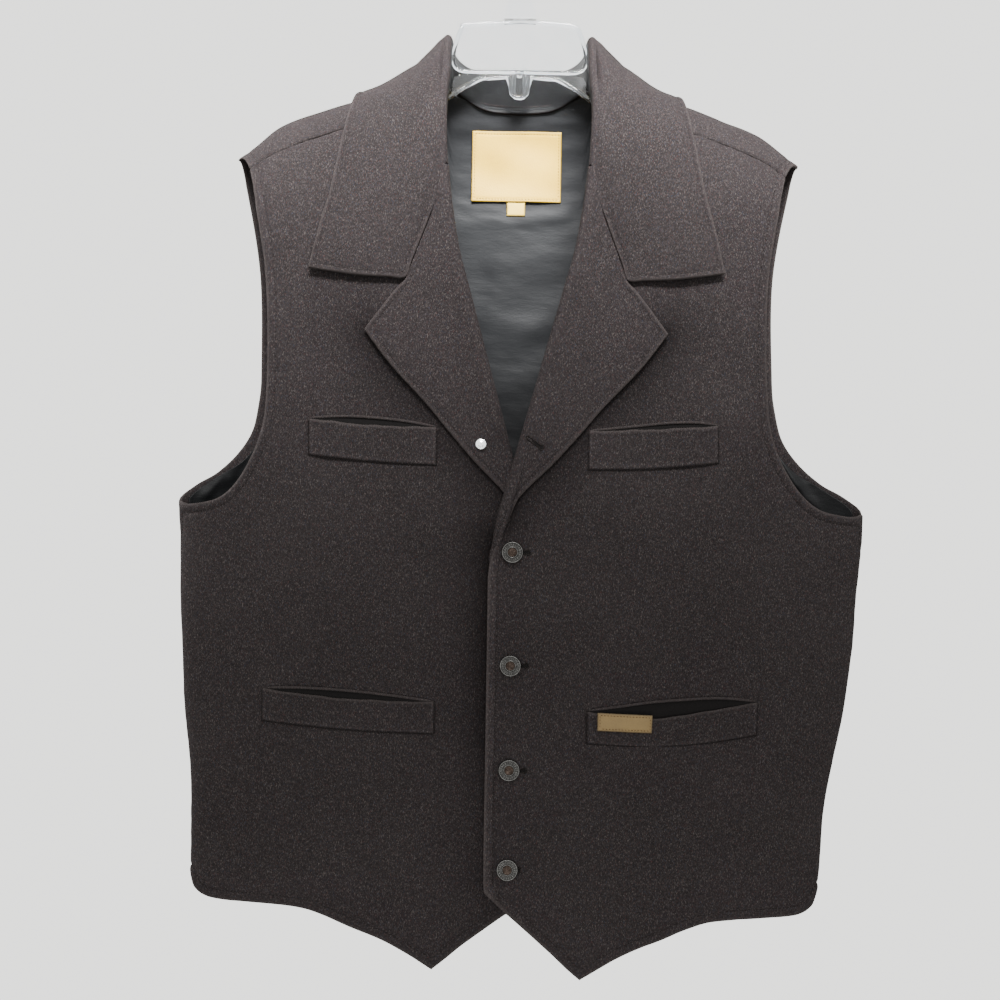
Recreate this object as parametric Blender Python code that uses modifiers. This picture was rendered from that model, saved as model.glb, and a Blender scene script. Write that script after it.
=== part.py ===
"""Buttoned western vest hanging on a clear plastic clothes hanger.

Frame: +X to the viewer's right, +Y away from the viewer, +Z up. The origin is the inside top of the
hanger's hook, where a rail carries it. Sizes here are in millimetres; build() turns them into metres.

The cloth follows one outer form. A place on it is (turn, run): turn is the angle round the body from
the centre of the front or back (0) to a side seam (90 degrees), and run is the way from the shoulder
ridge down, negative on the front and positive on the back. A third number lifts off the form.
"""
import math

import bmesh
import bpy
from mathutils import Matrix, Vector

MM = 0.001
SEAM = 0.3
SEAM_COLUMNS = 12

# Walls of the cloth
WOOL = 2.4
SATIN = 1.0
LEATHER = 1.4
LINING_AIR = 1.2
LINING_ROWS = 18

# Body form: half-width and depths of the hollow at some heights, and the shoulder's height by x
CAP_HEIGHT = 90.0
CAP_RUN = 110.0
HALF_WIDTH = ((-860, 259.2), (-750, 259.2), (-693, 262.5), (-620, 273), (-540, 278.5), (-467, 282),
              (-300, 290), (-60, 292))
SIDE_SWAY = ((-860, -2.5), (-770, -2.5), (-693, 0), (-627, 3.7), (-544, 5.2), (-467, 6.8), (-380, 4),
             (-250, 0), (-60, 0))
LEFT_DROP = 7.0
FRONT_DEPTH = ((-860, 31), (-780, 33), (-600, 42), (-467, 50), (-300, 50), (-60, 47))
BACK_DEPTH = ((-860, 24), (-780, 25), (-600, 32), (-467, 38), (-300, 41), (-60, 41))
SHOULDER = ((0, -110), (60, -118), (134, -135), (165, -146), (197.5, -159), (218, -174.5),
            (232, -184), (300, -212))

# Outlines seen from the front, viewer's right half, x and z
HEM_CORNER = (-17, -779)
HEM_TIP = (60, -843)
HEM_INNER = (HEM_CORNER, (-3, -793), (25, -814.6), (38, -824.6), (49.6, -834.6), HEM_TIP)
HEM_OUTER = (HEM_TIP, (83, -829), (102, -819), (127, -809), (149, -800), (170, -795), (208, -793),
             (231, -792), (244.7, -790), (254.5, -784), (259, -773))
FRONT_EDGE = (HEM_CORNER, (-19, -766), (-19, -640), (-19, -524))
BREAK_RUN = ((-19, -524), (-17.6, -512), (-14.2, -500))
ROLL = ((-14.2, -500), (50.8, -264))
ROLL_TOP = ((50.8, -264), (55.2, -240.5), (59.4, -212), (61.6, -194))
NECK_FRONT = ((61.6, -194), (62.4, -170), (62, -139))
SHOULDER_SEAM = ((62, -139), (141, -162), (160, -168), (178, -174), (195, -181), (205, -186),
                 (218.6, -195))
SIDE_TOP = -467
ARMHOLE_LOW = ((282, SIDE_TOP), (274, -469), (262, -468), (245.6, -464), (231.7, -454),
               (219.5, -438), (209.7, -419), (204.3, -400), (202.3, -381))
ARMHOLE_HIGH = ((202.3, -381), (201.3, -347), (201.5, -314), (203.5, -278), (206.4, -257),
                (210.5, -234), (214.6, -211), (218.6, -195))
BACK_HEM = -783
BACK_ARMHOLE_LOW = ((282, SIDE_TOP), (280, -462), (267, -452), (251, -442.5), (233.5, -426),
                    (221, -406), (215.5, -381))
BACK_ARMHOLE_HIGH = ((215.5, -381), (213.8, -358), (214.5, -277), (226.0, -203))
RIDGE_TIP = (231, -182)
BACK_NECK = ((60.3, -118), (50, -124), (28, -130), (0, -132))

# Collar: the fold's crest in space, the stand's foot beside the neck edge, the leaf's outer edge
COLLAR_CREST = ((57.4, -48, -194), (58.6, -47.5, -173.5), (59.4, -42, -141), (59.4, -31, -113),
                (59.4, -15, -88), (59, 1, -80.5), (55, 21, -92), (42, 38, -99.5), (21, 45.5, -101.5),
                (0, 47, -102))
COLLAR_FOOT_FRONT = ((59.6, -194), (60.2, -170), (59.6, -139))
COLLAR_FOOT_BACK = ((57.4, -118), (47.6, -121), (26.6, -127), (0, -129))
LEAF_EDGE_FRONT = ((166, -278), (158, -243), (150, -214), (142, -176), (137, -154), (131, -136))
LEAF_EDGE_BACK = ((128, -140), (110, -156), (70, -170), (0, -175))
ROLL_END_SHIFT = (-1.0, -4.0)
ROLL_END_START = (60.9, -206)
GORGE = ((61.5, -205), (64.3, -219), (71.4, -239), (79, -259), (88.8, -285))
COLLAR_FRONT_EDGE = ((88.8, -285), (127, -283.5), (166, -278))
LAPEL_TOP = ((88.8, -285.4), (104, -304), (121, -327))
LAPEL_EDGE = ((-11, -497), (-5.4, -478), (6.6, -457), (31.6, -431), (55.2, -404), (70.4, -386),
              (99.6, -355), (121, -327))
CREST_RADIUS = 3.0
ROLL_SECTION = ((-1.6, -2.2), (-3.0, -0.6), (-4.2, 1.6), (-3.4, 4.2), (-0.8, 5.4))
LEAF_REST = 2.3

# Small pieces
BUTTON_HEIGHTS = (-503.4, -594.6, -679.4, -760.5)
BUTTON_RADIUS = 8.5
WELTS = (("welt_upper", -405, -399, 31, 30, 3.0), ("welt_lower", -626, -618, 26, 27, 4.0))
WELT_ENDS = {("welt_upper", 1): (58.4, 163), ("welt_upper", -1): (61, 167),
             ("welt_lower", 1): (61, 200.5), ("welt_lower", -1): (60, 204.5)}
STUD_AT = (-26.4, -417.6)
STUD_RADIUS = 4.3
STUD_LIFT = 3.3
POCKET_LABEL = (92, -634, 43, 14)
NECK_LABEL = (-1, -181, 75, 60)
SIZE_TAB = (-1, -217.5, 15, 11)

# Hanger
PLATE_HALF = 51
HANGER_HALF_THICK = 4.5
HANGER_TIP = 208
WIRE_RADIUS = 1.9
HOOK_RADIUS = 19 + WIRE_RADIUS
MARKER_TOP = -42.0
PLATE_TOP = -66.0

# Soft folds of the cloth: side (-1 front, 1 back), line from (x, z) to (x, z), height and width
FOLDS = (
    (-1, 168, -395, 140, -560, 3.0, 34), (-1, -172, -400, -146, -575, 3.2, 36),
    (-1, 70, -520, 40, -610, -2.6, 34), (-1, -74, -515, -48, -600, -2.4, 34),
    (-1, 110, -690, 128, -800, 2.6, 38), (-1, -118, -680, -132, -800, 2.8, 38),
    (-1, 215, -500, 196, -760, -2.6, 36), (-1, -216, -505, -200, -760, -2.4, 36),
    (1, 0, -240, 8, -640, -3.4, 42), (1, 120, -300, 96, -760, 4.0, 52), (1, -116, -280, -104, -740, 4.2, 52),
    (1, 190, -470, 186, -770, -3.0, 38), (1, -186, -460, -190, -770, -3.0, 38),
)

# Colour, roughness and metal of each material
LOOKS = {
    "wool": ((0.052, 0.043, 0.040), 0.95, 0.0),
    "lining": ((0.045, 0.045, 0.042), 0.45, 0.0),
    "leather": ((0.62, 0.44, 0.25), 0.6, 0.0),
    "tab": ((0.75, 0.64, 0.42), 0.7, 0.0),
    "pewter": ((0.20, 0.19, 0.18), 0.4, 1.0),
    "stud": ((0.80, 0.82, 0.85), 0.25, 1.0),
    "clear": ((0.80, 0.82, 0.84), 0.1, 0.0),
    "steel": ((0.60, 0.60, 0.62), 0.2, 1.0),
}


def ramp(value, start, end):
    """Smooth step from 0 at start to 1 at end."""
    t = min(max((value - start) / (end - start), 0.0), 1.0)
    return t * t * (3 - 2 * t)


def mix(a, b, t):
    return a * (1 - t) + b * t


def read(table, value):
    """Smooth reading of a table of (place, size) rows."""
    last = len(table) - 1
    value = min(max(value, table[0][0]), table[last][0])
    i = next(k for k in range(last) if value <= table[k + 1][0])

    def slope(k):
        low, high = table[max(k - 1, 0)], table[min(k + 1, last)]
        return (high[1] - low[1]) / (high[0] - low[0])

    step = table[i + 1][0] - table[i][0]
    t = (value - table[i][0]) / step
    return ((2 * t ** 3 - 3 * t ** 2 + 1) * table[i][1] + (t ** 3 - 2 * t ** 2 + t) * step * slope(i)
            + (3 * t ** 2 - 2 * t ** 3) * table[i + 1][1] + (t ** 3 - t ** 2) * step * slope(i + 1))


def run_along(points, count):
    """count + 1 places spaced evenly along a smooth curve through the points."""
    points = [Vector(p) for p in points]
    dense = []
    for i in range(len(points) - 1):
        p0, p1, p2 = points[max(i - 1, 0)], points[i], points[i + 1]
        p3 = points[min(i + 2, len(points) - 1)]
        for k in range(16):
            t = k / 16
            dense.append(0.5 * (2 * p1 + (p2 - p0) * t + (2 * p0 - 5 * p1 + 4 * p2 - p3) * t ** 2
                                + (3 * p1 - p0 - 3 * p2 + p3) * t ** 3))
    dense.append(points[-1])
    gone = [0.0]
    for a, b in zip(dense, dense[1:]):
        gone.append(gone[-1] + (b - a).length)
    places = []
    for k in range(count + 1):
        want = gone[-1] * k / count
        i = max(j for j in range(len(gone)) if gone[j] <= want + 1e-9)
        i = min(i, len(dense) - 2)
        t = (want - gone[i]) / max(gone[i + 1] - gone[i], 1e-9)
        places.append(dense[i].lerp(dense[i + 1], min(t, 1.0)))
    return places


def chain(*pieces):
    """Joins runs end to end; each piece is (points, count)."""
    places = []
    for points, count in pieces:
        places += run_along(points, count)[1 if places else 0:]
    return places


def drop_of(run):
    """How far below the shoulder ridge a run ends."""
    part = min(abs(run) / CAP_RUN, 1.0)
    return CAP_HEIGHT * (1 - math.cos(part * math.pi / 2)) + max(abs(run) - CAP_RUN, 0.0)


def run_of(drop):
    """The run, without its sign, that ends this far below the shoulder ridge."""
    drop = max(drop, 0.0)
    if drop < CAP_HEIGHT:
        return CAP_RUN * math.acos(1 - drop / CAP_HEIGHT) * 2 / math.pi
    return CAP_RUN + drop - CAP_HEIGHT


def form(turn, run):
    """Point of the body's outer form, without folds."""
    x = read(HALF_WIDTH, -300) * math.sin(turn)
    for _ in range(6):
        z = read(SHOULDER, abs(x)) - drop_of(run)
        x = read(HALF_WIDTH, z) * math.sin(turn)
    depth = read(FRONT_DEPTH if run < 0 else BACK_DEPTH, z)
    round_over = math.sin(min(abs(run) / CAP_RUN, 1.0) * math.pi / 2)
    sway = read(SIDE_SWAY, z) * math.sin(turn) ** 2
    drop = LEFT_DROP * ramp(x, -10, 60) * ramp(z, -260, -780)
    return Vector((x + sway, math.copysign(1, run) * depth * math.cos(turn) * round_over, z - drop))


def fold_height(point, run):
    """Lift of the soft folds at a point of the form."""
    side = 1 if run > 0 else -1
    total = 0.0
    for fold_side, x0, z0, x1, z1, height, width in FOLDS:
        if fold_side != side:
            continue
        line = Vector((x1 - x0, z1 - z0))
        away = Vector((point.x - x0, point.z - z0))
        t = min(max(away.dot(line) / line.length_squared, 0.0), 1.0)
        gap = (away - line * t).length / width
        total += height * math.exp(-gap * gap)
    return total


def outward(turn, run):
    """Unit normal of the form, away from the hollow."""
    across = form(turn + 0.002, run) - form(turn - 0.002, run)
    down = form(turn, run + 0.4) - form(turn, run - 0.4)
    return across.cross(down).normalized()


def place(turn, run, lift=0.0):
    """Point lifted off the folded form."""
    point = form(turn, run)
    return point + outward(turn, run) * (lift + fold_height(point, run))


def on_front(x, z):
    """(turn, run) of the front's point that shows at x, z."""
    turn = math.asin(min(max(x / read(HALF_WIDTH, z), -1), 1))
    return Vector((turn, -run_of(read(SHOULDER, abs(x)) - z)))


def on_back(x, z):
    turn, run = on_front(x, z)
    return Vector((turn, -run))


def side_seam(side, count):
    """Places up the side seam from hem to armhole, half a seam's gap from its middle."""
    places = []
    for k in range(count + 1):
        z = mix(HEM_OUTER[-1][1], SIDE_TOP, k / count)
        half = read(HALF_WIDTH, z)
        depth = read(FRONT_DEPTH if side < 0 else BACK_DEPTH, z)
        places.append(Vector((math.pi / 2 - SEAM / 2 / depth, side * run_of(read(SHOULDER, half) - z))))
    return places


def locate(target):
    """(turn, run, lift) of a point in space, by stepping along the form."""
    target = Vector(target)
    turn = math.asin(target.x / 300)
    run = math.copysign(40, target.y)
    for _ in range(30):
        here = form(turn, run)
        across = (form(turn + 0.002, run) - form(turn - 0.002, run)) / 0.004
        down = (form(turn, run + 0.4) - form(turn, run - 0.4)) / 0.8
        turn += 0.6 * (target - here).dot(across) / across.length_squared
        run += 0.6 * (target - here).dot(down) / down.length_squared
    return Vector((turn, run, (target - form(turn, run)).dot(outward(turn, run))))


def under_sink(x, z):
    """How deep the lower front lies beneath the upper one, where they overlap below the V."""
    edge = -19 if z < -524 else mix(-19, -14.2, ramp(z, -524, -500)) + 65 / 236 * max(z + 500, 0)
    beside = edge - x
    upper_fade = 1 - ramp(z, -425, -385)
    lapel_zone = ramp(z, -545, -514) * upper_fade
    return (2.9 * (1 - ramp(beside, 4, 44)) * upper_fade
            + 5.0 * (1 - ramp(beside, 10, 46)) * lapel_zone)


def sink_for(side, turn, run):
    """Sink of the viewer's left front (side -1); the right front lies on top."""
    if side > 0:
        return 0.0
    point = form(turn, run)
    return under_sink(point.x, point.z)


def patch(left, right, bottom, top):
    """Grid of places between four edges; rows go from bottom to top."""
    rows, columns = len(left) - 1, len(bottom) - 1
    grid = []
    for k in range(rows + 1):
        v = k / rows
        row = []
        for j in range(columns + 1):
            u = j / columns
            corners = mix(mix(left[0], right[0], u), mix(left[-1], right[-1], u), v)
            row.append(mix(left[k], right[k], u) + mix(bottom[j], top[j], v) - corners)
        grid.append(row)
    return grid


def mirrored(grid):
    return [[Vector((-p[0], *p[1:])) for p in row] for row in grid]


def material(name):
    if name in bpy.data.materials:
        return bpy.data.materials[name]
    colour, roughness, metal = LOOKS[name]
    made = bpy.data.materials.new(name)
    made.use_nodes = True
    made.diffuse_color = (*colour, 1.0)
    shader = made.node_tree.nodes["Principled BSDF"]
    shader.inputs["Base Color"].default_value = (*colour, 1.0)
    shader.inputs["Roughness"].default_value = roughness
    shader.inputs["Metallic"].default_value = metal
    return made


def finish_object(thing, name, look, flat_angle=40):
    thing.name = name
    thing.data.name = name
    thing.data.materials.clear()
    thing.data.materials.append(material(look))
    if thing.type == "MESH":
        thing.data.shade_smooth()
        thing.data.set_sharp_from_angle(angle=math.radians(flat_angle))
    for holder in list(thing.users_collection):
        holder.objects.unlink(thing)
    COLLECTION.objects.link(thing)
    return thing


def build(name, outer, inner, look):
    """One closed wall between an outer and an inner grid of points in millimetres."""
    rows, columns = len(outer), len(outer[0])
    mesh = bmesh.new()
    sheets = [[[mesh.verts.new(p * MM) for p in row] for row in grid] for grid in (outer, inner)]
    for sheet in sheets:
        for k in range(rows - 1):
            for j in range(columns - 1):
                mesh.faces.new((sheet[k][j], sheet[k][j + 1], sheet[k + 1][j + 1], sheet[k + 1][j]))
    rim = ([(0, j) for j in range(columns)] + [(k, columns - 1) for k in range(1, rows)]
           + [(rows - 1, j) for j in range(columns - 2, -1, -1)] + [(k, 0) for k in range(rows - 2, 0, -1)])
    for (k, j), (m, n) in zip(rim, rim[1:] + rim[:1]):
        mesh.faces.new((sheets[0][k][j], sheets[0][m][n], sheets[1][m][n], sheets[1][k][j]))
    bmesh.ops.triangulate(mesh, faces=mesh.faces[:])
    bmesh.ops.recalc_face_normals(mesh, faces=mesh.faces[:])
    data = bpy.data.meshes.new(name)
    mesh.to_mesh(data)
    mesh.free()
    return finish_object(bpy.data.objects.new(name, data), name, look)


def thicken(middle, wall):
    """Outer and inner grids half a wall to each side of a middle grid."""
    rows, columns = len(middle), len(middle[0])
    outer, inner = [], []
    for k in range(rows):
        outer.append([])
        inner.append([])
        for j in range(columns):
            across = middle[k][min(j + 1, columns - 1)] - middle[k][max(j - 1, 0)]
            along = middle[min(k + 1, rows - 1)][j] - middle[max(k - 1, 0)][j]
            side = across.cross(along).normalized() * wall / 2
            outer[-1].append(middle[k][j] + side)
            inner[-1].append(middle[k][j] - side)
    return outer, inner


def fronts():
    """The two fronts: the edge and roll line on one side, armhole and side seam on the other."""
    left = [on_front(*p) for p in chain((FRONT_EDGE, 7), (BREAK_RUN, 1), (ROLL, 8), (ROLL_TOP, 3),
                                        (NECK_FRONT, 3))]
    right = [on_front(*p) for p in chain((ARMHOLE_LOW, 5), (ARMHOLE_HIGH, 9))]
    right = side_seam(-1, 8) + right[1:]
    bottom = [on_front(*p) for p in chain((HEM_INNER, 4), (HEM_OUTER, SEAM_COLUMNS - 4))]
    bottom[-1] = right[0]
    top = [on_front(*p) for p in run_along(SHOULDER_SEAM, SEAM_COLUMNS)]
    grid = patch(left, right, bottom, top)
    for name, side in (("front_left", 1), ("front_right", -1)):
        half = grid if side > 0 else mirrored(grid)
        outer = [[place(*p, -sink_for(side, *p)) for p in row] for row in half]
        inner = [[place(*p, -sink_for(side, *p) - WOOL) for p in row] for row in half]
        build(name, outer, inner, "wool")


def back():
    """The back wraps over the shoulders to the front seams; its lining lies inside it."""
    right = side_seam(1, 8) + [on_back(*p) for p in chain((BACK_ARMHOLE_LOW, 4), (BACK_ARMHOLE_HIGH, 4))][1:]
    seam_tip = on_front(*SHOULDER_SEAM[-1]) + Vector((0, SEAM))
    ridge_tip = Vector((on_front(*RIDGE_TIP)[0], 0.0))
    right += [mix(right[-1], ridge_tip, k / 3) for k in range(1, 4)]
    right += [mix(ridge_tip, seam_tip, k / 3) for k in range(1, 4)]
    left = [Vector((-p[0], p[1])) for p in right]
    half_seam = [on_front(*p) + Vector((0, SEAM)) for p in run_along(SHOULDER_SEAM, SEAM_COLUMNS)]
    ridge_neck = Vector((on_front(*BACK_NECK[0])[0], 0.0))
    half_neck = [mix(half_seam[0], ridge_neck, 0.5), ridge_neck]
    half_neck += [on_back(*p) for p in run_along(BACK_NECK, 4)[1:]]
    half_top = half_neck[::-1] + half_seam
    top = [Vector((-p[0], p[1])) for p in half_top[::-1]] + half_top[1:]
    columns = len(top) - 1
    bottom = [mix(left[0], right[0], j / columns) for j in range(columns + 1)]
    corner_x, corner_z = HEM_OUTER[-1]
    for place_on_hem in bottom[1:-1]:
        x = corner_x * math.sin(place_on_hem[0])
        hem = mix(BACK_HEM, corner_z, abs(x / corner_x) ** 6)
        place_on_hem[1] = run_of(read(SHOULDER, abs(x)) - hem)
    grid = patch(left, right, bottom, top)
    build("back", [[place(*p) for p in row] for row in grid],
          [[place(*p, -WOOL) for p in row] for row in grid], "wool")
    lining = [row[2:-2:2] for row in grid[1:LINING_ROWS]]
    lift = -WOOL - LINING_AIR
    build("back_lining", [[place(*p, lift) for p in row] for row in lining],
          [[place(*p, lift - SATIN) for p in row] for row in lining], "lining")


def collar():
    """One folded sheet: the stand rises from the neck edge, the leaf falls from the fold."""
    stations = 14
    crest = run_along(COLLAR_CREST, stations)
    foot_places = ([on_front(*p) for p in COLLAR_FOOT_FRONT]
                   + [Vector((on_front(*COLLAR_FOOT_BACK[0])[0], 0))]
                   + [on_back(*p) for p in COLLAR_FOOT_BACK[1:]])
    foot = run_along([place(*p, -WOOL + 0.2) for p in foot_places], stations)
    edge_places = ([(*on_front(*p), LEAF_REST + 3.0 * ramp(p[1], -250, -140)) for p in LEAF_EDGE_FRONT]
                   + [(*on_back(*p), LEAF_REST + 3.0) for p in LEAF_EDGE_BACK])
    edge = run_along([place(*p) for p in edge_places], stations)
    half = []
    fold_in, fold_out = [], []
    for k in range(stations + 1):
        v = k / stations
        along = (crest[min(k + 1, stations)] - crest[max(k - 1, 0)]).normalized()
        up = Vector((-1, 0, 0.2)).lerp(Vector((-0.15, 0, 1)), ramp(v, 0.0, 0.4))
        up = (up - along * up.dot(along)).normalized()
        out = along.cross(up)
        fold_in.append(crest[k] - (out + up * 0.8) * CREST_RADIUS)
        fold_out.append(crest[k] + (out - up * 0.8) * CREST_RADIUS)
    left = [locate(p) for p in fold_out]
    right = [locate(p) for p in edge]
    bottom = [left[0]] + [Vector((*on_front(*p), LEAF_REST)) for p in
                          run_along(GORGE, 3)[1:] + run_along(COLLAR_FRONT_EDGE, 3)[1:]]
    bottom[1][2] += 1.6
    columns = len(bottom) - 1
    top = []
    for j in range(columns + 1):
        u = j / columns
        lift = mix(right[-1][2], left[-1][2], (1 - u) ** 1.3)
        top.append(Vector((0, mix(left[-1][1], right[-1][1], u), lift)))
    leaf = patch(left, right, bottom, top)
    for k in range(stations + 1):
        for j in range(1, columns):
            settled = mix(right[k][2], left[k][2], (1 - j / columns) ** 1.3)
            leaf[k][j][2] = mix(bottom[j][2], settled, ramp(k, 0, 2))
        stand = [mix(foot[k], fold_in[k], t) for t in (0, 0.35, 0.7)]
        half.append(stand + [fold_in[k], crest[k]] + [place(*p) for p in leaf[k]])
    whole = half + [[Vector((-p.x, p.y, p.z)) for p in row] for row in half[-2::-1]]
    outer, inner = thicken(whole, WOOL)
    build("collar", outer, inner, "wool")


def lapels():
    """Each lapel turns over at the roll line and lies on its front."""
    rows = 13
    base = run_along(chain((BREAK_RUN[1:], 1), (ROLL, 9), (ROLL_TOP, 3)), rows)
    base[-1] += Vector(ROLL_END_SHIFT)
    start = [Vector((p[0] + 3, p[1])) for p in base]
    start[-1] = Vector(ROLL_END_START)
    outline_top = [start[-1]] + run_along([(p[0] - 0.8, p[1] - 0.3) for p in GORGE], 3)[1:]
    outline_top += run_along(LAPEL_TOP, 3)[1:]
    right = run_along(LAPEL_EDGE, rows)
    bottom = run_along((start[0], right[0]), len(outline_top) - 1)
    flat = patch([p.to_2d() for p in start], [p.to_2d() for p in right],
                 [p.to_2d() for p in bottom], [Vector(p[:2]) for p in outline_top])
    for name, side in (("lapel_left", 1), ("lapel_right", -1)):
        middle = []
        for k in range(rows + 1):
            x, z = base[k]
            tight = 1.0
            if side < 0:
                tight = mix(1.0, 0.62, ramp(under_sink(-x, z), 3.0, 7.0))
            roll = [(x + c, z, lift * tight) for c, lift in ROLL_SECTION]
            fall = []
            for j, p in enumerate(flat[k]):
                u = j / (len(flat[k]) - 1)
                lift = mix(LEAF_REST, ROLL_SECTION[-1][1] * tight, (1 - u) ** 2.2)
                fall.append((p[0], p[1], min(lift, ROLL_SECTION[-1][1] * tight)))
            row = []
            for px, pz, lift in roll + fall:
                turn, run = on_front(px, pz)
                row.append(place(side * turn, run, lift - sink_for(side, side * turn, run)))
            middle.append(row)
        outer, inner = thicken(middle, WOOL)
        build(name, outer, inner, "wool")


def plate_on(name, corners, count, lift, wall, look, sink=None):
    """A flat piece on the cloth between four x, z corners: low left, low right, high right, high left.

    lift gives the height of its lower face at each (u, v)."""
    low_left, low_right, high_right, high_left = (Vector(c) for c in corners)
    columns, rows = count
    outer, inner = [], []
    for k in range(rows + 1):
        v = k / rows
        outer.append([])
        inner.append([])
        for j in range(columns + 1):
            u = j / columns
            spot = mix(mix(low_left, low_right, u), mix(high_left, high_right, u), v)
            spot = spot + Vector((0, -sink * math.sin(math.pi * u))) if sink else spot
            where = on_front(*spot)
            inner[-1].append(place(*where, lift(u, v)))
            outer[-1].append(place(*where, lift(u, v) + wall))
    return build(name, outer, inner, look)


def welts():
    """Four pocket welts, sewn at the bottom and sides; their tops stand off as the pockets gape."""
    for name, z0, z1, tall_in, tall_out, sag in WELTS:
        for side, suffix in ((1, "left"), (-1, "right")):
            x0, x1 = WELT_ENDS[name, side]
            corners = [(side * x0, z0 - tall_in), (side * x1, z1 - tall_out),
                       (side * x1, z1), (side * x0, z0)]
            plate_on(f"{name}_{suffix}", corners, (8, 2),
                     lambda u, v: 0.8 + 2.6 * v * v * math.sin(math.pi * u), 2.4, "wool", sag)
    x, z, wide, tall = POCKET_LABEL
    name, z0, z1, tall_in, tall_out, sag = WELTS[1]
    x0, x1 = WELT_ENDS[name, 1]
    tilt = tall * 0.02
    corners = [(x - wide / 2, z - tall / 2 - tilt), (x + wide / 2, z - tall / 2 + tilt),
               (x + wide / 2, z + tall / 2 + tilt), (x - wide / 2, z + tall / 2 - tilt)]

    def above_welt(u, v):
        across = (x + (u - 0.5) * wide - x0) / (x1 - x0)
        up = min(max((z + (v - 0.5) * tall + sag - (z0 - tall_in)) / tall_in, 0), 1)
        return 0.8 + 2.6 * up * up * math.sin(math.pi * across) + 2.4 + SEAM + 0.3

    plate_on("pocket_label", corners, (4, 2), above_welt, LEATHER, "leather")


def labels():
    """The neck label and the small tab under it lie on the lining, inside the back."""
    lift = -WOOL - LINING_AIR - SATIN - 1.0
    cells = 6
    for name, sizes, look in (("neck_label", NECK_LABEL, "leather"), ("size_tab", SIZE_TAB, "tab")):
        x, z, wide, tall = sizes
        outer, inner = [], []
        for k in range(cells + 1):
            outer.append([])
            inner.append([])
            for j in range(cells + 1):
                where = on_back(x + (j / cells - 0.5) * wide, z + (k / cells - 0.5) * tall)
                outer[-1].append(place(*where, lift))
                inner[-1].append(place(*where, lift - LEATHER))
        build(name, outer, inner, look)


def turned(name, profile, steps, spot, normal, look):
    """A piece turned about its own axis and set on the cloth."""
    data = bpy.data.meshes.new(name)
    points = [(r * MM, 0, h * MM) for r, h in profile]
    data.from_pydata(points, [(i, i + 1) for i in range(len(points) - 1)], [])
    thing = bpy.data.objects.new(name, data)
    screw = thing.modifiers.new("turn", "SCREW")
    screw.steps = screw.render_steps = steps
    screw.use_merge_vertices = True
    screw.merge_threshold = 0.00001
    thing.matrix_world = Matrix.Translation(spot * MM) @ normal.to_track_quat("Z", "Y").to_matrix().to_4x4()
    return finish_object(thing, name, look)


def fasteners():
    r = BUTTON_RADIUS
    button = ((0, 2.6), (r * 0.6, 2.6), (r * 0.68, 3.5), (r * 0.86, 3.9), (r * 0.98, 3.2), (r, 2.2),
              (r * 0.9, 1.3), (3, 1.0), (3, 0.0), (0, 0.0))
    for number, z in enumerate(BUTTON_HEIGHTS, 1):
        where = on_front(0, z)
        turned(f"button_{number}", button, 20, place(*where, 0.45), outward(*where), "pewter")
    r = STUD_RADIUS
    stud = ((0, 1.9), (r * 0.5, 1.75), (r * 0.85, 1.2), (r, 0.5), (r, 0), (0, 0))
    where = on_front(*STUD_AT)
    turned("lapel_stud", stud, 16, place(*where, STUD_LIFT), outward(*where), "stud")


def flat_outline(name, points, half_thick, bevel, look):
    """A 2D outline in the hanger's plane, extruded to both sides."""
    data = bpy.data.curves.new(name, "CURVE")
    data.dimensions = "2D"
    data.fill_mode = "BOTH"
    data.extrude = (half_thick - bevel) * MM
    data.bevel_depth = bevel * MM
    data.bevel_resolution = 1
    data.offset = -bevel * MM
    spline = data.splines.new("POLY")
    spline.points.add(len(points) - 1)
    for point, (x, z) in zip(spline.points, points):
        point.co = (x * MM, z * MM, 0, 1)
    spline.use_cyclic_u = True
    thing = bpy.data.objects.new(name, data)
    thing.rotation_euler = (math.pi / 2, 0, 0)
    return finish_object(thing, name, look)


def hanger():
    """Clear moulded plate, arms and tongue, a marker on the neck and a wire hook."""
    arm_top = [(x, read(SHOULDER, x) - WOOL - 2.6) for x in (64, 80, 100, 120, 140, 160, 180, 198)]
    arm_low = [(196, -179), (170, -173), (140, -163), (110, -153), (80, -143), (61, -135), (45, -124),
               (30, -116), (18, -112.5), (12, -113.5), (9.5, -119), (7.5, -128), (3, -131.5)]
    half = [(0, PLATE_TOP), (25, -67), (43, -70), (PLATE_HALF - 5, -75), (PLATE_HALF, -92)]
    half += [(PLATE_HALF, -117), (56, -124.5), (66, -124.5)]
    half += arm_top[1:] + [(HANGER_TIP, -172), (HANGER_TIP - 1, -177)] + arm_low
    outline = half + [(-x, z) for x, z in half[:0:-1]]
    flat_outline("hanger", outline[::-1], HANGER_HALF_THICK, 1.5, "clear")
    marker = [(-13.3, -65.7), (13.3, -65.7), (8.2, MARKER_TOP), (-8.2, MARKER_TOP)]
    flat_outline("hanger_marker", marker, 7.0, 1.0, "clear")
    centre = WIRE_RADIUS - HOOK_RADIUS
    path = [(0, MARKER_TOP + SEAM), (0, MARKER_TOP + 1.2)]
    turns = [math.radians(a) for a in range(-82, 206, 12)]
    path += [(HOOK_RADIUS * math.cos(a), centre + HOOK_RADIUS * math.sin(a)) for a in turns]
    data = bpy.data.curves.new("hanger_hook", "CURVE")
    data.dimensions = "3D"
    data.bevel_depth = WIRE_RADIUS * MM
    data.bevel_resolution = 2
    data.use_fill_caps = True
    spline = data.splines.new("POLY")
    spline.points.add(len(path) - 1)
    for point, (x, z) in zip(spline.points, path):
        point.co = (x * MM, 0, z * MM, 1)
    finish_object(bpy.data.objects.new("hanger_hook", data), "hanger_hook", "steel")


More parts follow.
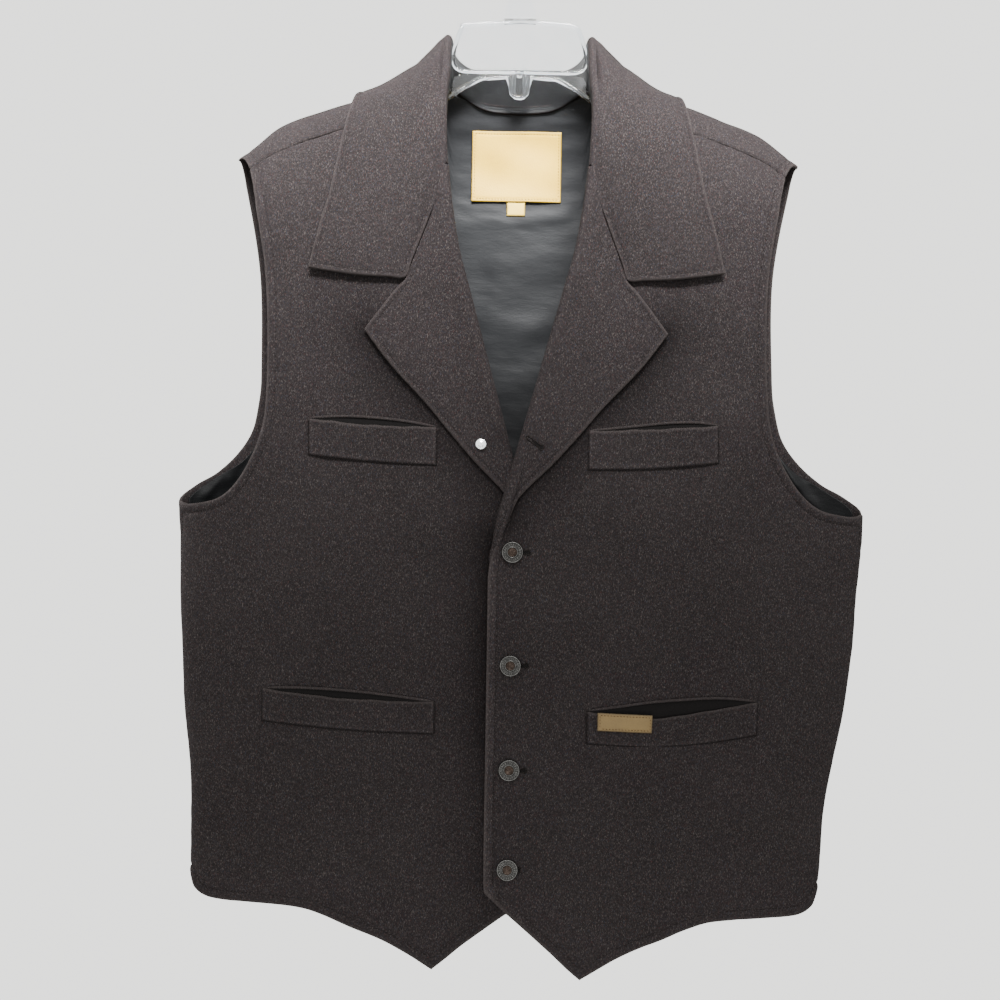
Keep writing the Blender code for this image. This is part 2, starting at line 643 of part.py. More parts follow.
for old in list(bpy.data.objects):
    bpy.data.objects.remove(old, do_unlink=True)
COLLECTION = bpy.data.collections.new("western_vest")
bpy.context.scene.collection.children.link(COLLECTION)
fronts()
back()
collar()
lapels()
welts()
labels()
fasteners()
hanger()
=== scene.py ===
"""Looks of the buttoned western vest on its clear hanger.

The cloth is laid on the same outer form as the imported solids, at a finer pitch, in millimetres.
A place on the form is (turn, run): the angle round the body from the centre of the front or back,
and the way from the shoulder ridge down, negative on the front and positive on the back.
"""
import math
import random

import bmesh
import bpy
import numpy as np
from mathutils import Matrix, Vector
from mathutils.bvhtree import BVHTree


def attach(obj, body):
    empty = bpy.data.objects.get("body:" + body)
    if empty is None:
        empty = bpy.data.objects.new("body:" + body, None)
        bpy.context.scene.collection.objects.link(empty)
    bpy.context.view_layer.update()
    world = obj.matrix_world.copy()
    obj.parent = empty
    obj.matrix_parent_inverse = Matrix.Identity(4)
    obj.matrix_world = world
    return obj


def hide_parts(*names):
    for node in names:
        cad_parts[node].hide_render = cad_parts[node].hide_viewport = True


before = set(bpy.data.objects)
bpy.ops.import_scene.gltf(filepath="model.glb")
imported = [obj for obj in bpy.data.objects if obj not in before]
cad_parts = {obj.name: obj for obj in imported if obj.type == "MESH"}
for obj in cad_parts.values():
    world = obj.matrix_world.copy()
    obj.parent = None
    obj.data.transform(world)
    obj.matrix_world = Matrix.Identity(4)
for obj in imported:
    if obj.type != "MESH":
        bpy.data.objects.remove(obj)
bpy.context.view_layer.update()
MM = 0.001

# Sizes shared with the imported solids
SEAM = 0.3
WOOL = 2.4
SATIN = 1.0
LINING_AIR = 1.2
CAP_HEIGHT = 90.0
CAP_RUN = 110.0
HALF_WIDTH = ((-860, 259.2), (-750, 259.2), (-693, 262.5), (-620, 273), (-540, 278.5), (-467, 282),
              (-300, 290), (-60, 292))
SIDE_SWAY = ((-860, -2.5), (-770, -2.5), (-693, 0), (-627, 3.7), (-544, 5.2), (-467, 6.8), (-380, 4),
             (-250, 0), (-60, 0))
LEFT_DROP = 7.0
FRONT_DEPTH = ((-860, 31), (-780, 33), (-600, 42), (-467, 50), (-300, 50), (-60, 47))
BACK_DEPTH = ((-860, 24), (-780, 25), (-600, 32), (-467, 38), (-300, 41), (-60, 41))
SHOULDER = ((0, -110), (60, -118), (134, -135), (165, -146), (197.5, -159), (218, -174.5),
            (232, -184), (300, -212))
HEM_CORNER = (-17, -779)
HEM_TIP = (60, -843)
HEM_INNER = (HEM_CORNER, (-3, -793), (25, -814.6), (38, -824.6), (49.6, -834.6), HEM_TIP)
HEM_OUTER = (HEM_TIP, (83, -829), (102, -819), (127, -809), (149, -800), (170, -795), (208, -793),
             (231, -792), (244.7, -790), (254.5, -784), (259, -773))
FRONT_EDGE = (HEM_CORNER, (-19, -766), (-19, -640), (-19, -524))
BREAK_RUN = ((-19, -524), (-17.6, -512), (-14.2, -500))
ROLL = ((-14.2, -500), (50.8, -264))
ROLL_TOP = ((50.8, -264), (55.2, -240.5), (59.4, -212), (61.6, -194))
NECK_FRONT = ((61.6, -194), (62.4, -170), (62, -139))
SHOULDER_SEAM = ((62, -139), (141, -162), (160, -168), (178, -174), (195, -181), (205, -186),
                 (218.6, -195))
SIDE_TOP = -467
ARMHOLE_LOW = ((282, SIDE_TOP), (274, -469), (262, -468), (245.6, -464), (231.7, -454),
               (219.5, -438), (209.7, -419), (204.3, -400), (202.3, -381))
ARMHOLE_HIGH = ((202.3, -381), (201.3, -347), (201.5, -314), (203.5, -278), (206.4, -257),
                (210.5, -234), (214.6, -211), (218.6, -195))
BACK_HEM = -783
BACK_ARMHOLE_LOW = ((282, SIDE_TOP), (280, -462), (267, -452), (251, -442.5), (233.5, -426),
                    (221, -406), (215.5, -381))
BACK_ARMHOLE_HIGH = ((215.5, -381), (213.8, -358), (214.5, -277), (226.0, -203))
RIDGE_TIP = (231, -182)
BACK_NECK = ((60.3, -118), (50, -124), (28, -130), (0, -132))
COLLAR_CREST = ((57.4, -48, -194), (58.6, -47.5, -173.5), (59.4, -42, -141), (59.4, -31, -113),
                (59.4, -15, -88), (59, 1, -80.5), (55, 21, -92), (42, 38, -99.5), (21, 45.5, -101.5),
                (0, 47, -102))
COLLAR_FOOT_FRONT = ((59.6, -194), (60.2, -170), (59.6, -139))
COLLAR_FOOT_BACK = ((57.4, -118), (47.6, -121), (26.6, -127), (0, -129))
LEAF_EDGE_FRONT = ((166, -278), (158, -243), (150, -214), (142, -176), (137, -154), (131, -136))
LEAF_EDGE_BACK = ((128, -140), (110, -156), (70, -170), (0, -175))
GORGE = ((61.5, -205), (64.3, -219), (71.4, -239), (79, -259), (88.8, -285))
COLLAR_FRONT_EDGE = ((88.8, -285), (127, -283.5), (166, -278))
LAPEL_TOP = ((88.8, -285.4), (104, -304), (121, -327))
LAPEL_EDGE = ((-11, -497), (-5.4, -478), (6.6, -457), (31.6, -431), (55.2, -404), (70.4, -386),
              (99.6, -355), (121, -327))
CREST_RADIUS = 3.0
ROLL_SECTION = ((-1.6, -2.2), (-3.0, -0.6), (-4.2, 1.6), (-3.4, 4.2), (-0.8, 5.4))
LEAF_REST = 2.3
LEATHER = 1.4
WELT_TALL = 28
BUTTON_HEIGHTS = (-503.4, -594.6, -679.4, -760.5)
BUTTON_RADIUS = 8.5
# Each kind of welt: z of its top line at the inner and outer end, then its height at both
WELTS = (("welt_upper", -405, -399, 31, 30), ("welt_lower", -626, -618, 26, 27))
# x of each welt's inner and outer end, by kind and side
WELT_ENDS = {("welt_upper", 1): (58.4, 163), ("welt_upper", -1): (61, 167),
             ("welt_lower", 1): (61, 200.5), ("welt_lower", -1): (60, 204.5)}
STUD_AT = (-26.4, -417.6)
# Labels: centre x and z, width and height
POCKET_LABEL = (92, -634, 43, 14)
NECK_LABEL = (-1, -181, 75, 60)
SIZE_TAB = (-1, -217.5, 15, 11)
# Each fold: front (-1) or back (1), x and z of its ends, height and width
FOLDS = (
    (-1, 168, -395, 140, -560, 3.0, 34), (-1, -172, -400, -146, -575, 3.2, 36),
    (-1, 70, -520, 40, -610, -2.6, 34), (-1, -74, -515, -48, -600, -2.4, 34),
    (-1, 110, -690, 128, -800, 2.6, 38), (-1, -118, -680, -132, -800, 2.8, 38),
    (-1, 215, -500, 196, -760, -2.6, 36), (-1, -216, -505, -200, -760, -2.4, 36),
    (1, 0, -240, 8, -640, -3.4, 42), (1, 120, -300, 96, -760, 4.0, 52),
    (1, -116, -280, -104, -740, 4.2, 52), (1, 190, -470, 186, -770, -3.0, 38),
    (1, -186, -460, -190, -770, -3.0, 38),
)


def ramp(value, start, end):
    """Smooth step from 0 at start to 1 at end."""
    t = np.clip((np.asarray(value, float) - start) / (end - start), 0, 1)
    return t * t * (3 - 2 * t)


def mix(a, b, t):
    return a * (1 - t) + b * t


def read(rows, value):
    """Smooth reading of a table of (place, size) rows."""
    xs, ys = np.array(rows, float).T
    low = np.maximum(np.arange(len(xs)) - 1, 0)
    high = np.minimum(np.arange(len(xs)) + 1, len(xs) - 1)
    lean = (ys[high] - ys[low]) / (xs[high] - xs[low])
    value = np.clip(value, xs[0], xs[-1])
    i = np.clip(np.searchsorted(xs, value) - 1, 0, len(xs) - 2)
    step = xs[i + 1] - xs[i]
    t = (value - xs[i]) / step
    return ((2 * t ** 3 - 3 * t ** 2 + 1) * ys[i] + (t ** 3 - 2 * t ** 2 + t) * step * lean[i]
            + (3 * t ** 2 - 2 * t ** 3) * ys[i + 1] + (t ** 3 - t ** 2) * step * lean[i + 1])


def unit(v):
    return v / np.maximum(np.linalg.norm(v, axis=-1, keepdims=True), 1e-9)


def path_length(points):
    """The way gone along a line at each of its points."""
    return np.concatenate([[0], np.cumsum(np.linalg.norm(np.diff(points, axis=0), axis=1))])


def at_length(points, gone, want):
    return np.stack([np.interp(want, gone, column) for column in points.T], -1)


def curve_at(points, t):
    """Places at shares t of the length of a smooth curve through the points."""
    points = np.array(points, float)
    padded = np.vstack([points[:1], points, points[-1:]])
    s = np.linspace(0, 1, 17)[:-1, None]
    dense = []
    for i in range(len(points) - 1):
        p0, p1, p2, p3 = padded[i:i + 4]
        dense.append(0.5 * (2 * p1 + (p2 - p0) * s + (2 * p0 - 5 * p1 + 4 * p2 - p3) * s ** 2
                            + (3 * p1 - p0 - 3 * p2 + p3) * s ** 3))
    dense = np.vstack(dense + [points[-1:]])
    gone = path_length(dense)
    return at_length(dense, gone, np.asarray(t) * gone[-1])


def chain_at(pieces, t):
    """Places at shares t of a chain; each piece is (points, weight) and takes its weight's share."""
    weights = np.array([w for _, w in pieces], float)
    starts = np.concatenate([[0], np.cumsum(weights)]) / weights.sum()
    t = np.asarray(t, float)
    result = np.zeros((len(t), len(pieces[0][0][0])))
    for (points, _), low, high in zip(pieces, starts, starts[1:]):
        inside = (t >= low - 1e-9) & (t <= high + 1e-9)
        result[inside] = curve_at(points, (t[inside] - low) / (high - low))
    return result


def drop_of(run):
    part = np.minimum(np.abs(run) / CAP_RUN, 1)
    return CAP_HEIGHT * (1 - np.cos(part * math.pi / 2)) + np.maximum(np.abs(run) - CAP_RUN, 0)


def run_of(drop):
    drop = np.maximum(drop, 0)
    capped = np.arccos(1 - np.minimum(drop, CAP_HEIGHT) / CAP_HEIGHT) * 2 / math.pi * CAP_RUN
    return np.where(drop < CAP_HEIGHT, capped, CAP_RUN + drop - CAP_HEIGHT)


FIRST_HALF_WIDTH = 290
TURN_STEP = 0.002
RUN_STEP = 0.4


def form(turn, run):
    """Points of the body's outer form, without folds."""
    x = FIRST_HALF_WIDTH * np.sin(turn)
    for _ in range(6):
        z = read(SHOULDER, np.abs(x)) - drop_of(run)
        x = read(HALF_WIDTH, z) * np.sin(turn)
    depth = np.where(run < 0, read(FRONT_DEPTH, z), read(BACK_DEPTH, z))
    over = np.sin(np.minimum(np.abs(run) / CAP_RUN, 1) * math.pi / 2)
    sway = read(SIDE_SWAY, z) * np.sin(turn) ** 2
    drop = LEFT_DROP * ramp(x, -10, 60) * ramp(z, -260, -780)
    return np.stack([x + sway, np.where(run < 0, -1, 1) * depth * np.cos(turn) * over, z - drop], -1)


def slopes(turn, run):
    """How a point of the form moves for one unit of turn, and of run."""
    across = (form(turn + TURN_STEP, run) - form(turn - TURN_STEP, run)) / (2 * TURN_STEP)
    return across, (form(turn, run + RUN_STEP) - form(turn, run - RUN_STEP)) / (2 * RUN_STEP)


def outward(turn, run):
    return unit(np.cross(*slopes(turn, run)))


def line_hills(x, z, rows):
    """Sum of soft ridges and troughs along lines: (x0, z0, x1, z1, height, width)."""
    total = np.zeros(np.shape(x))
    for x0, z0, x1, z1, height, width in rows:
        dx, dz = x1 - x0, z1 - z0
        t = np.clip(((x - x0) * dx + (z - z0) * dz) / (dx * dx + dz * dz), 0, 1)
        gap = np.hypot(x - x0 - t * dx, z - z0 - t * dz) / width
        total += height * np.exp(-gap * gap)
    return total


def fold_height(points, run):
    front = line_hills(points[..., 0], points[..., 2], [f[1:] for f in FOLDS if f[0] < 0])
    rear = line_hills(points[..., 0], points[..., 2], [f[1:] for f in FOLDS if f[0] > 0])
    return np.where(run > 0, rear, front)


def place(places, lift=0.0):
    """Points at (turn, run) places on the folded cloth, moved outward by lift."""
    turn, run = np.moveaxis(np.asarray(places), -1, 0)
    points = form(turn, run)
    return points + outward(turn, run) * (lift + fold_height(points, run))[..., None]


def form_xz(places):
    """x and z of (turn, run) places on the form, without folds."""
    x, _, z = np.moveaxis(form(places[..., 0], places[..., 1]), -1, 0)
    return x, z


def on_front(x, z):
    turn = np.arcsin(np.clip(x / read(HALF_WIDTH, z), -1, 1))
    return np.stack([turn, -run_of(read(SHOULDER, np.abs(x)) - z)], -1)


def on_back(x, z):
    return on_front(x, z) * (1, -1)


def front_line(points):
    """Places on the front of x, z points."""
    return on_front(*np.array(points, float).T)


def back_line(points):
    return on_back(*np.array(points, float).T)


def side_seam(side, t):
    z = mix(HEM_OUTER[-1][1], SIDE_TOP, t)
    depth = read(FRONT_DEPTH if side < 0 else BACK_DEPTH, z)
    drop = read(SHOULDER, read(HALF_WIDTH, z)) - z
    return np.stack([math.pi / 2 - SEAM / 2 / depth, side * run_of(drop)], -1)


def locate(targets):
    """(turn, run, lift) of points in space, by stepping along the form."""
    targets = np.asarray(targets, float)
    turn = np.arcsin(targets[:, 0] / 300)
    run = np.where(targets[:, 1] < 0, -40.0, 40.0)
    for _ in range(40):
        here = form(turn, run)
        across, down = slopes(turn, run)
        turn = turn + 0.6 * ((targets - here) * across).sum(-1) / (across ** 2).sum(-1)
        run = run + 0.6 * ((targets - here) * down).sum(-1) / (down ** 2).sum(-1)
    lift = ((targets - form(turn, run)) * outward(turn, run)).sum(-1)
    return np.stack([turn, run, lift], -1)


BREAK_X, BREAK_Z = FRONT_EDGE[-1]
ROLL_X, ROLL_Z = ROLL[0]
ROLL_SLOPE = (ROLL[1][0] - ROLL_X) / (ROLL[1][1] - ROLL_Z)


def under_sink(x, z):
    """How deep the lower front lies beneath the upper one, where they overlap below the V."""
    roll = mix(BREAK_X, ROLL_X, ramp(z, BREAK_Z, ROLL_Z)) + ROLL_SLOPE * np.maximum(z - ROLL_Z, 0)
    beside = np.where(z < BREAK_Z, BREAK_X, roll) - x
    upper_fade = 1 - ramp(z, -425, -385)
    lapel_zone = ramp(z, -545, -514) * upper_fade
    return 2.9 * (1 - ramp(beside, 4, 44)) * upper_fade + 5.0 * (1 - ramp(beside, 10, 46)) * lapel_zone


def patch(left, right, bottom, top, u, v):
    """Places between four edges at shares u across and v up; rows go from bottom to top."""
    u, v = u[None, :, None], v[:, None, None]
    corners = mix(mix(left[0], right[0], u), mix(left[-1], right[-1], u), v)
    return mix(left[:, None], right[:, None], u) + mix(bottom[None], top[None], v) - corners


def shares(length, near, count, far=None):
    """Shares from 0 to 1 that are a millimetre apart near both ends of a length."""
    far = near if far is None else far
    return np.concatenate([np.arange(near) / length, np.linspace(near / length, 1 - far / length, count),
                           1 - np.arange(far)[::-1] / length])


# Materials

def fill(made, new, **inputs):
    """Links or sets a node's inputs; each is named, or numbered as i0, i1 and so on."""
    for key, value in inputs.items():
        socket = new.inputs[int(key[1:]) if key[1:].isdigit() else key.replace("_", " ")]
        if isinstance(value, bpy.types.NodeSocket):
            made.node_tree.links.new(value, socket)
        else:
            socket.default_value = (*value, 1) if socket.type == "RGBA" and len(value) == 3 else value


def new_material(name, **settings):
    made = bpy.data.materials.new(name)
    made.use_nodes = True
    shader = made.node_tree.nodes["Principled BSDF"]
    fill(made, shader, **settings)
    return made, shader


def node(made, kind, settings=None, **inputs):
    new = made.node_tree.nodes.new(kind)
    for key, value in (settings or {}).items():
        setattr(new, key, value)
    fill(made, new, **inputs)
    return new


def ramp_node(made, factor, *stops):
    """A colour ramp through (position, colour) stops."""
    new = node(made, "ShaderNodeValToRGB", i0=factor)
    elements = new.color_ramp.elements
    while len(elements) < len(stops):
        elements.new(0.5)
    for element, (position, colour) in zip(elements, stops):
        element.position = position
        element.color = (*colour, 1)
    return new.outputs[0]


def two_tones(made, factor, dark, pale, start=0.3, end=0.7):
    return ramp_node(made, factor, (start, dark), (end, pale))


def blend_node(made, factor, a, b):
    return node(made, "ShaderNodeMix", {"data_type": "RGBA"}, i0=factor, i6=a, i7=b).outputs[2]


def coords(made, scale=(1, 1, 1), turn=(0, 0, 0)):
    here = node(made, "ShaderNodeTexCoord").outputs["Object"]
    return node(made, "ShaderNodeMapping", Vector=here, Scale=scale, Rotation=turn).outputs[0]


def noise(made, vector, scale, detail=4.0, rough=0.6):
    new = node(made, "ShaderNodeTexNoise", Vector=vector, Scale=scale, Detail=detail, Roughness=rough)
    return new.outputs[0]


def bump(made, shader, height, distance, strength, below=None):
    """A bump on the shader, laid over another one where below is given."""
    new = node(made, "ShaderNodeBump", Height=height, Distance=distance, Strength=strength)
    if below is not None:
        fill(made, new, Normal=below)
    fill(made, shader, Normal=new.outputs[0])
    return new.outputs[0]


def mesh_value(made, name):
    return node(made, "ShaderNodeAttribute", {"attribute_name": name}).outputs["Fac"]


def toned(made, base):
    """The base colour scaled by 1 + the mesh's tone, which carries painted shade and painted highlight on the
    cloth, and worn metal on the buttons.
    """
    share = node(made, "ShaderNodeMath", {"operation": "ADD"}, i0=mesh_value(made, "tone"), i1=1.0).outputs[0]
    return node(made, "ShaderNodeVectorMath", {"operation": "SCALE"}, i0=base, Scale=share).outputs[0]


def worn_rim(made, base, reach, share, colour):
    """The base colour turned towards another within reach (mm) of the piece's edge."""
    worn = node(made, "ShaderNodeMapRange", i0=mesh_value(made, "edge"), i1=0.0, i2=reach, i3=share, i4=0.0)
    return blend_node(made, worn.outputs[0], base, colour)


BLACK, WHITE = (0, 0, 0), (1, 1, 1)
# Stray fibres: turn, start and end of the mask, colour, share
FIBRES = (((0.3, 0.2, 0.5), 0.58, 0.70, (0.0784, 0.0682, 0.0638), 0.50),
          ((1.1, 0.9, 0.1), 0.59, 0.70, (0.0588, 0.0506, 0.0487), 0.48),
          ((0.7, 2.0, 1.2), 0.60, 0.70, (0.0431, 0.0174, 0.0158), 0.45),
          ((2.0, 0.4, 0.9), 0.60, 0.70, (0.0204, 0.0269, 0.0419), 0.42))


def wool_material(name):
    """Felted charcoal-brown wool with pale, reddish and bluish stray fibres."""
    made, shader = new_material(name, Roughness=0.92, Specular_IOR_Level=0.03, Sheen_Weight=0.01,
                                Sheen_Roughness=0.5, Sheen_Tint=(0.75, 0.66, 0.60))
    plain = coords(made)
    cloudy = noise(made, plain, 16, 3, 0.5)
    grain = noise(made, plain, 560, 5, 0.75)
    base = ramp_node(made, grain, (0.30, (0.0067, 0.0057, 0.0059)), (0.50, (0.0126, 0.0106, 0.0108)),
                     (0.72, (0.0259, 0.0219, 0.0220)))
    patches = two_tones(made, cloudy, (0.0094, 0.0079, 0.0081), (0.0157, 0.0133, 0.0135))
    base = blend_node(made, 0.30, base, patches)
    for turn, low, high, colour, share in FIBRES:
        fibre = noise(made, coords(made, (1, 1, 0.42), turn), 1350, 2.0, 0.6)
        mask = two_tones(made, fibre, BLACK, WHITE, low, high)
        strength = node(made, "ShaderNodeMath", {"operation": "MULTIPLY"}, i0=mask, i1=share).outputs[0]
        base = blend_node(made, strength, base, colour)
    base = worn_rim(made, base, 2.4, 0.5, (0.0392, 0.0332, 0.0319))
    fill(made, shader, Base_Color=toned(made, base))
    fuzz = bump(made, shader, grain, 0.0005, 0.55)
    bump(made, shader, noise(made, plain, 140, 4, 0.6), 0.0009, 0.4, fuzz)
    return made


def satin_material(name):
    """Dark grey satin with a fine cross thread."""
    made, shader = new_material(name, Roughness=0.50, Specular_IOR_Level=0.085)
    cloudy = noise(made, coords(made), 9, 3, 0.5)
    base = two_tones(made, cloudy, (0.0088, 0.0092, 0.0100), (0.0140, 0.0146, 0.0156))
    thread = noise(made, coords(made, (1, 1, 9)), 420, 2, 0.5)
    threads = two_tones(made, thread, (0.0066, 0.0068, 0.0074), (0.0182, 0.0187, 0.0200))
    fill(made, shader, Base_Color=toned(made, blend_node(made, 0.25, base, threads)))
    fine = bump(made, shader, thread, 0.0001, 0.5)
    bump(made, shader, noise(made, coords(made, (1, 1, 3)), 60, 4, 0.6), 0.0010, 0.35, fine)
    return made


def leather_material(name, pale, dark, pore_scale=840.0):
    made, shader = new_material(name, Roughness=0.62)
    plain = coords(made)
    base = two_tones(made, noise(made, plain, 55, 5, 0.65), dark, pale)
    pores = node(made, "ShaderNodeTexVoronoi", Vector=plain, Scale=pore_scale).outputs["Distance"]
    base = blend_node(made, 0.18, base, two_tones(made, pores, dark, pale, 0.0, 0.5))
    fill(made, shader, Base_Color=worn_rim(made, base, 1.2, 0.6, tuple(0.25 * c for c in dark)))
    bump(made, shader, pores, 0.0002, 0.4)
    return made


def metal_material(name, colour, rough, spots):
    """Cast metal with darker hollows."""
    made, shader = new_material(name, Metallic=1.0)
    cloudy = noise(made, coords(made), 700, 4, 0.6)
    base = two_tones(made, cloudy, tuple(c * (1 - spots) for c in colour), colour, end=0.65)
    fill(made, shader, Base_Color=toned(made, base),
         Roughness=two_tones(made, cloudy, (rough * 1.4,) * 3, (rough * 0.8,) * 3))
    bump(made, shader, cloudy, 0.0001, 0.4)
    return made


def clear_material(name):
    made, shader = new_material(name, Transmission_Weight=1.0, IOR=1.45)
    haze = noise(made, coords(made), 60, 3, 0.5)
    fill(made, shader, Base_Color=two_tones(made, haze, (0.90, 0.93, 0.96), (0.97, 0.985, 1.0)),
         Roughness=two_tones(made, haze, (0.03,) * 3, (0.10,) * 3, end=0.8))
    return made


def thread_material(name, colour, gloss=0.05):
    made, shader = new_material(name, Specular_IOR_Level=gloss, Roughness=0.7)
    twist = noise(made, coords(made), 2200, 2, 0.5)
    fill(made, shader, Base_Color=two_tones(made, twist, tuple(0.6 * c for c in colour), colour))
    bump(made, shader, twist, 0.0001, 0.5)
    return made


WOOL_LOOK = wool_material("melton_wool")
SATIN_LOOK = satin_material("lining_satin")
LEATHER_LOOK = leather_material("neck_leather", (0.60, 0.375, 0.018), (0.53, 0.315, 0.013))
POCKET_LEATHER_LOOK = leather_material("pocket_leather", (0.118, 0.073, 0.0165), (0.080, 0.047, 0.0095))
TAB_LOOK = leather_material("size_tab_cotton", (0.64, 0.44, 0.060), (0.56, 0.37, 0.045), 1800.0)
PEWTER_LOOK = metal_material("antique_pewter", (0.058, 0.057, 0.055), 0.36, 0.6)
COPPER_LOOK = metal_material("button_centre", (0.046, 0.034, 0.028), 0.45, 0.6)
STUD_LOOK = metal_material("stud_silver", (0.90, 0.91, 0.92), 0.22, 0.1)
STEEL_LOOK = metal_material("hook_steel", (0.62, 0.62, 0.64), 0.2, 0.1)
CLEAR_LOOK = clear_material("clear_plastic")
STITCH_LOOK = thread_material("wool_thread", (0.014, 0.012, 0.011))
LABEL_THREAD_LOOK = thread_material("label_thread", (0.085, 0.047, 0.020))
# a near-black sheet painted as the shade in pocket mouths and buttonhole slits
PAINTED_SHADE_LOOK = thread_material("pocket_shadow", (0.0095, 0.0088, 0.0088), 0.0)


# Meshes

def add_object(name, points, faces, look, edge=None, smooth=True, tone=None):
    """A mesh object from points in millimetres, its faces turned outward."""
    data = bpy.data.meshes.new(name)
    data.from_pydata((np.asarray(points) * MM).tolist(), [], faces)
    work = bmesh.new()
    work.from_mesh(data)
    bmesh.ops.recalc_face_normals(work, faces=work.faces[:])
    work.to_mesh(data)
    work.free()
    for label, values in (("edge", edge), ("tone", tone)):
        if values is not None:
            held = data.attributes.new(label, "FLOAT", "POINT").data
            held.foreach_set("value", np.asarray(values, np.float32))
    data.materials.append(look)
    if smooth:
        data.shade_smooth()
    thing = bpy.data.objects.new(name, data)
    bpy.context.scene.collection.objects.link(thing)
    return thing


def rim_of(rows, columns):
    """Grid indices once round the border."""
    ring = [(0, j) for j in range(columns)] + [(k, columns - 1) for k in range(1, rows)]
    ring += [(rows - 1, j) for j in range(columns - 2, -1, -1)] + [(k, 0) for k in range(rows - 2, 0, -1)]
    return np.array(ring)


def wall(name, outer, inner, look, bulge=0.45, edge=None, inner_look=None, tone=None):
    """A closed cloth wall between two grids, its rim rounded by one more ring of points."""
    rows, columns = outer.shape[:2]
    ring = rim_of(rows, columns)
    middle = (outer + inner) / 2
    border = middle[ring[:, 0], ring[:, 1]]
    away = unit(border - middle[np.clip(ring[:, 0], 1, rows - 2), np.clip(ring[:, 1], 1, columns - 2)])
    points = np.vstack([outer.reshape(-1, 3), inner.reshape(-1, 3), border + away * bulge])
    k, j = np.meshgrid(np.arange(rows - 1), np.arange(columns - 1), indexing="ij")
    first = (k * columns + j).ravel()
    quads = np.stack([first, first + 1, first + columns + 1, first + columns], -1)
    size = rows * columns
    flat = ring[:, 0] * columns + ring[:, 1]
    after = np.roll(flat, -1)
    count = len(flat)
    mid, mid_after = 2 * size + np.arange(count), 2 * size + np.roll(np.arange(count), -1)
    faces = np.vstack([quads, quads[:, ::-1] + size, np.stack([after, flat, mid, mid_after], -1),
                       np.stack([mid_after, mid, flat + size, after + size], -1)]).tolist()
    if edge is not None:
        edge = np.concatenate([edge.ravel(), edge.ravel(), np.zeros(count)])
    if tone is not None:
        tone = np.concatenate([tone.ravel(), tone.ravel(), tone[ring[:, 0], ring[:, 1]]])
    thing = add_object(name, points, faces, look, edge, tone=tone)
    if inner_look is not None:
        thing.data.materials.append(inner_look)
        for face in thing.data.polygons[len(quads):2 * len(quads)]:
            face.material_index = 1
    return thing


def two_faces(middle, rise, probe):
    """Outer and inner wool faces; the one that looks forward at the probe is raised and given too."""
    n = unit(np.cross(np.gradient(middle, axis=1), np.gradient(middle, axis=0)))
    outer, inner = middle + n * WOOL / 2, middle - n * WOOL / 2
    front_is_outer = n[probe][1] < 0
    face = outer if front_is_outer else inner
    face += n * (1 if front_is_outer else -1) * rise[..., None]
    return outer, inner, face, front_is_outer


def edge_distance(points, lines):
    """Distance in millimetres from every grid point to the nearest of some border lines."""
    dense = np.vstack([curve_at(line, np.linspace(0, 1, 400)) for line in lines])
    flat = points.reshape(-1, 3)
    best = np.full(len(flat), 1e9)
    for start in range(0, len(dense), 100):
        part = dense[start:start + 100]
        best = np.minimum(best, np.sqrt(((flat[:, None] - part[None]) ** 2).sum(-1)).min(1))
    return best.reshape(points.shape[:2])


def refine(grid, rows, columns):
    """Cubic reading of a coarse grid at finer rows and columns (given as fractional indices)."""
    def along(values, where):
        last = len(values) - 1
        i = np.clip(np.floor(where).astype(int), 0, last - 1)
        t = (where - i).reshape(-1, *([1] * (values.ndim - 1)))
        p0, p1 = values[np.maximum(i - 1, 0)], values[i]
        p2, p3 = values[i + 1], values[np.minimum(i + 2, last)]
        return 0.5 * (2 * p1 + (p2 - p0) * t + (2 * p0 - 5 * p1 + 4 * p2 - p3) * t ** 2
                      + (3 * p1 - p0 - 3 * p2 + p3) * t ** 3)
    fine = along(grid, rows)
    return np.swapaxes(along(np.swapaxes(fine, 0, 1), columns), 0, 1)


def hill(distance, at, height, width):
    return height * np.exp(-((distance - at) / width) ** 2)


def soft_rim(distance, radius=1.3):
    """Rounds an outer face down towards its border."""
    t = np.clip(1 - distance / radius, 0, 1)
    return -radius * 0.75 * (1 - np.sqrt(np.maximum(1 - t * t, 0)))


def stitched_rim(edge):
    """The rounded edge, swell and stitch line of a collar or lapel."""
    return hill(edge, 4.2, -0.5, 0.9) + soft_rim(edge) + hill(edge, 1.8, 0.35, 1.5)


def ripple(x, z, seed, height, shortest, longest, count=9):
    """Soft uneven swell of the cloth from a few slanted waves."""
    draw = random.Random(seed)
    total = np.zeros(np.shape(x))
    for _ in range(count):
        turn = draw.uniform(0, math.pi)
        length = draw.uniform(shortest, longest)
        phase = draw.uniform(0, 2 * math.pi)
        total += np.sin((x * math.cos(turn) + z * math.sin(turn)) * 2 * math.pi / length + phase)
    return total * height / math.sqrt(count)


def snap(shares_list, *exact):
    """Moves the nearest share onto each exact one, so that a corner keeps its point."""
    for value in exact:
        shares_list[np.argmin(np.abs(shares_list - value))] = value
    return shares_list


def finer(*stretches):
    """Rising places over joined stretches, each with its start, end and count."""
    parts = [np.linspace(*stretch) for stretch in stretches]
    return np.concatenate([part[:-1] for part in parts[:-1]] + parts[-1:])


# Fronts

FRONT_LEFT_SIDE = [(FRONT_EDGE, 7), (BREAK_RUN, 1), (ROLL, 8), (ROLL_TOP, 3), (NECK_FRONT, 3)]
ARMHOLE_SIDE = [(ARMHOLE_LOW, 5), (ARMHOLE_HIGH, 9)]
HEM_SIDE = [(HEM_INNER, 4), (HEM_OUTER, 8)]
BREAK_SHARE = 7 / 22
SEAM_SHARE = 8 / 22
HEM_TIP_SHARE = 4 / 12


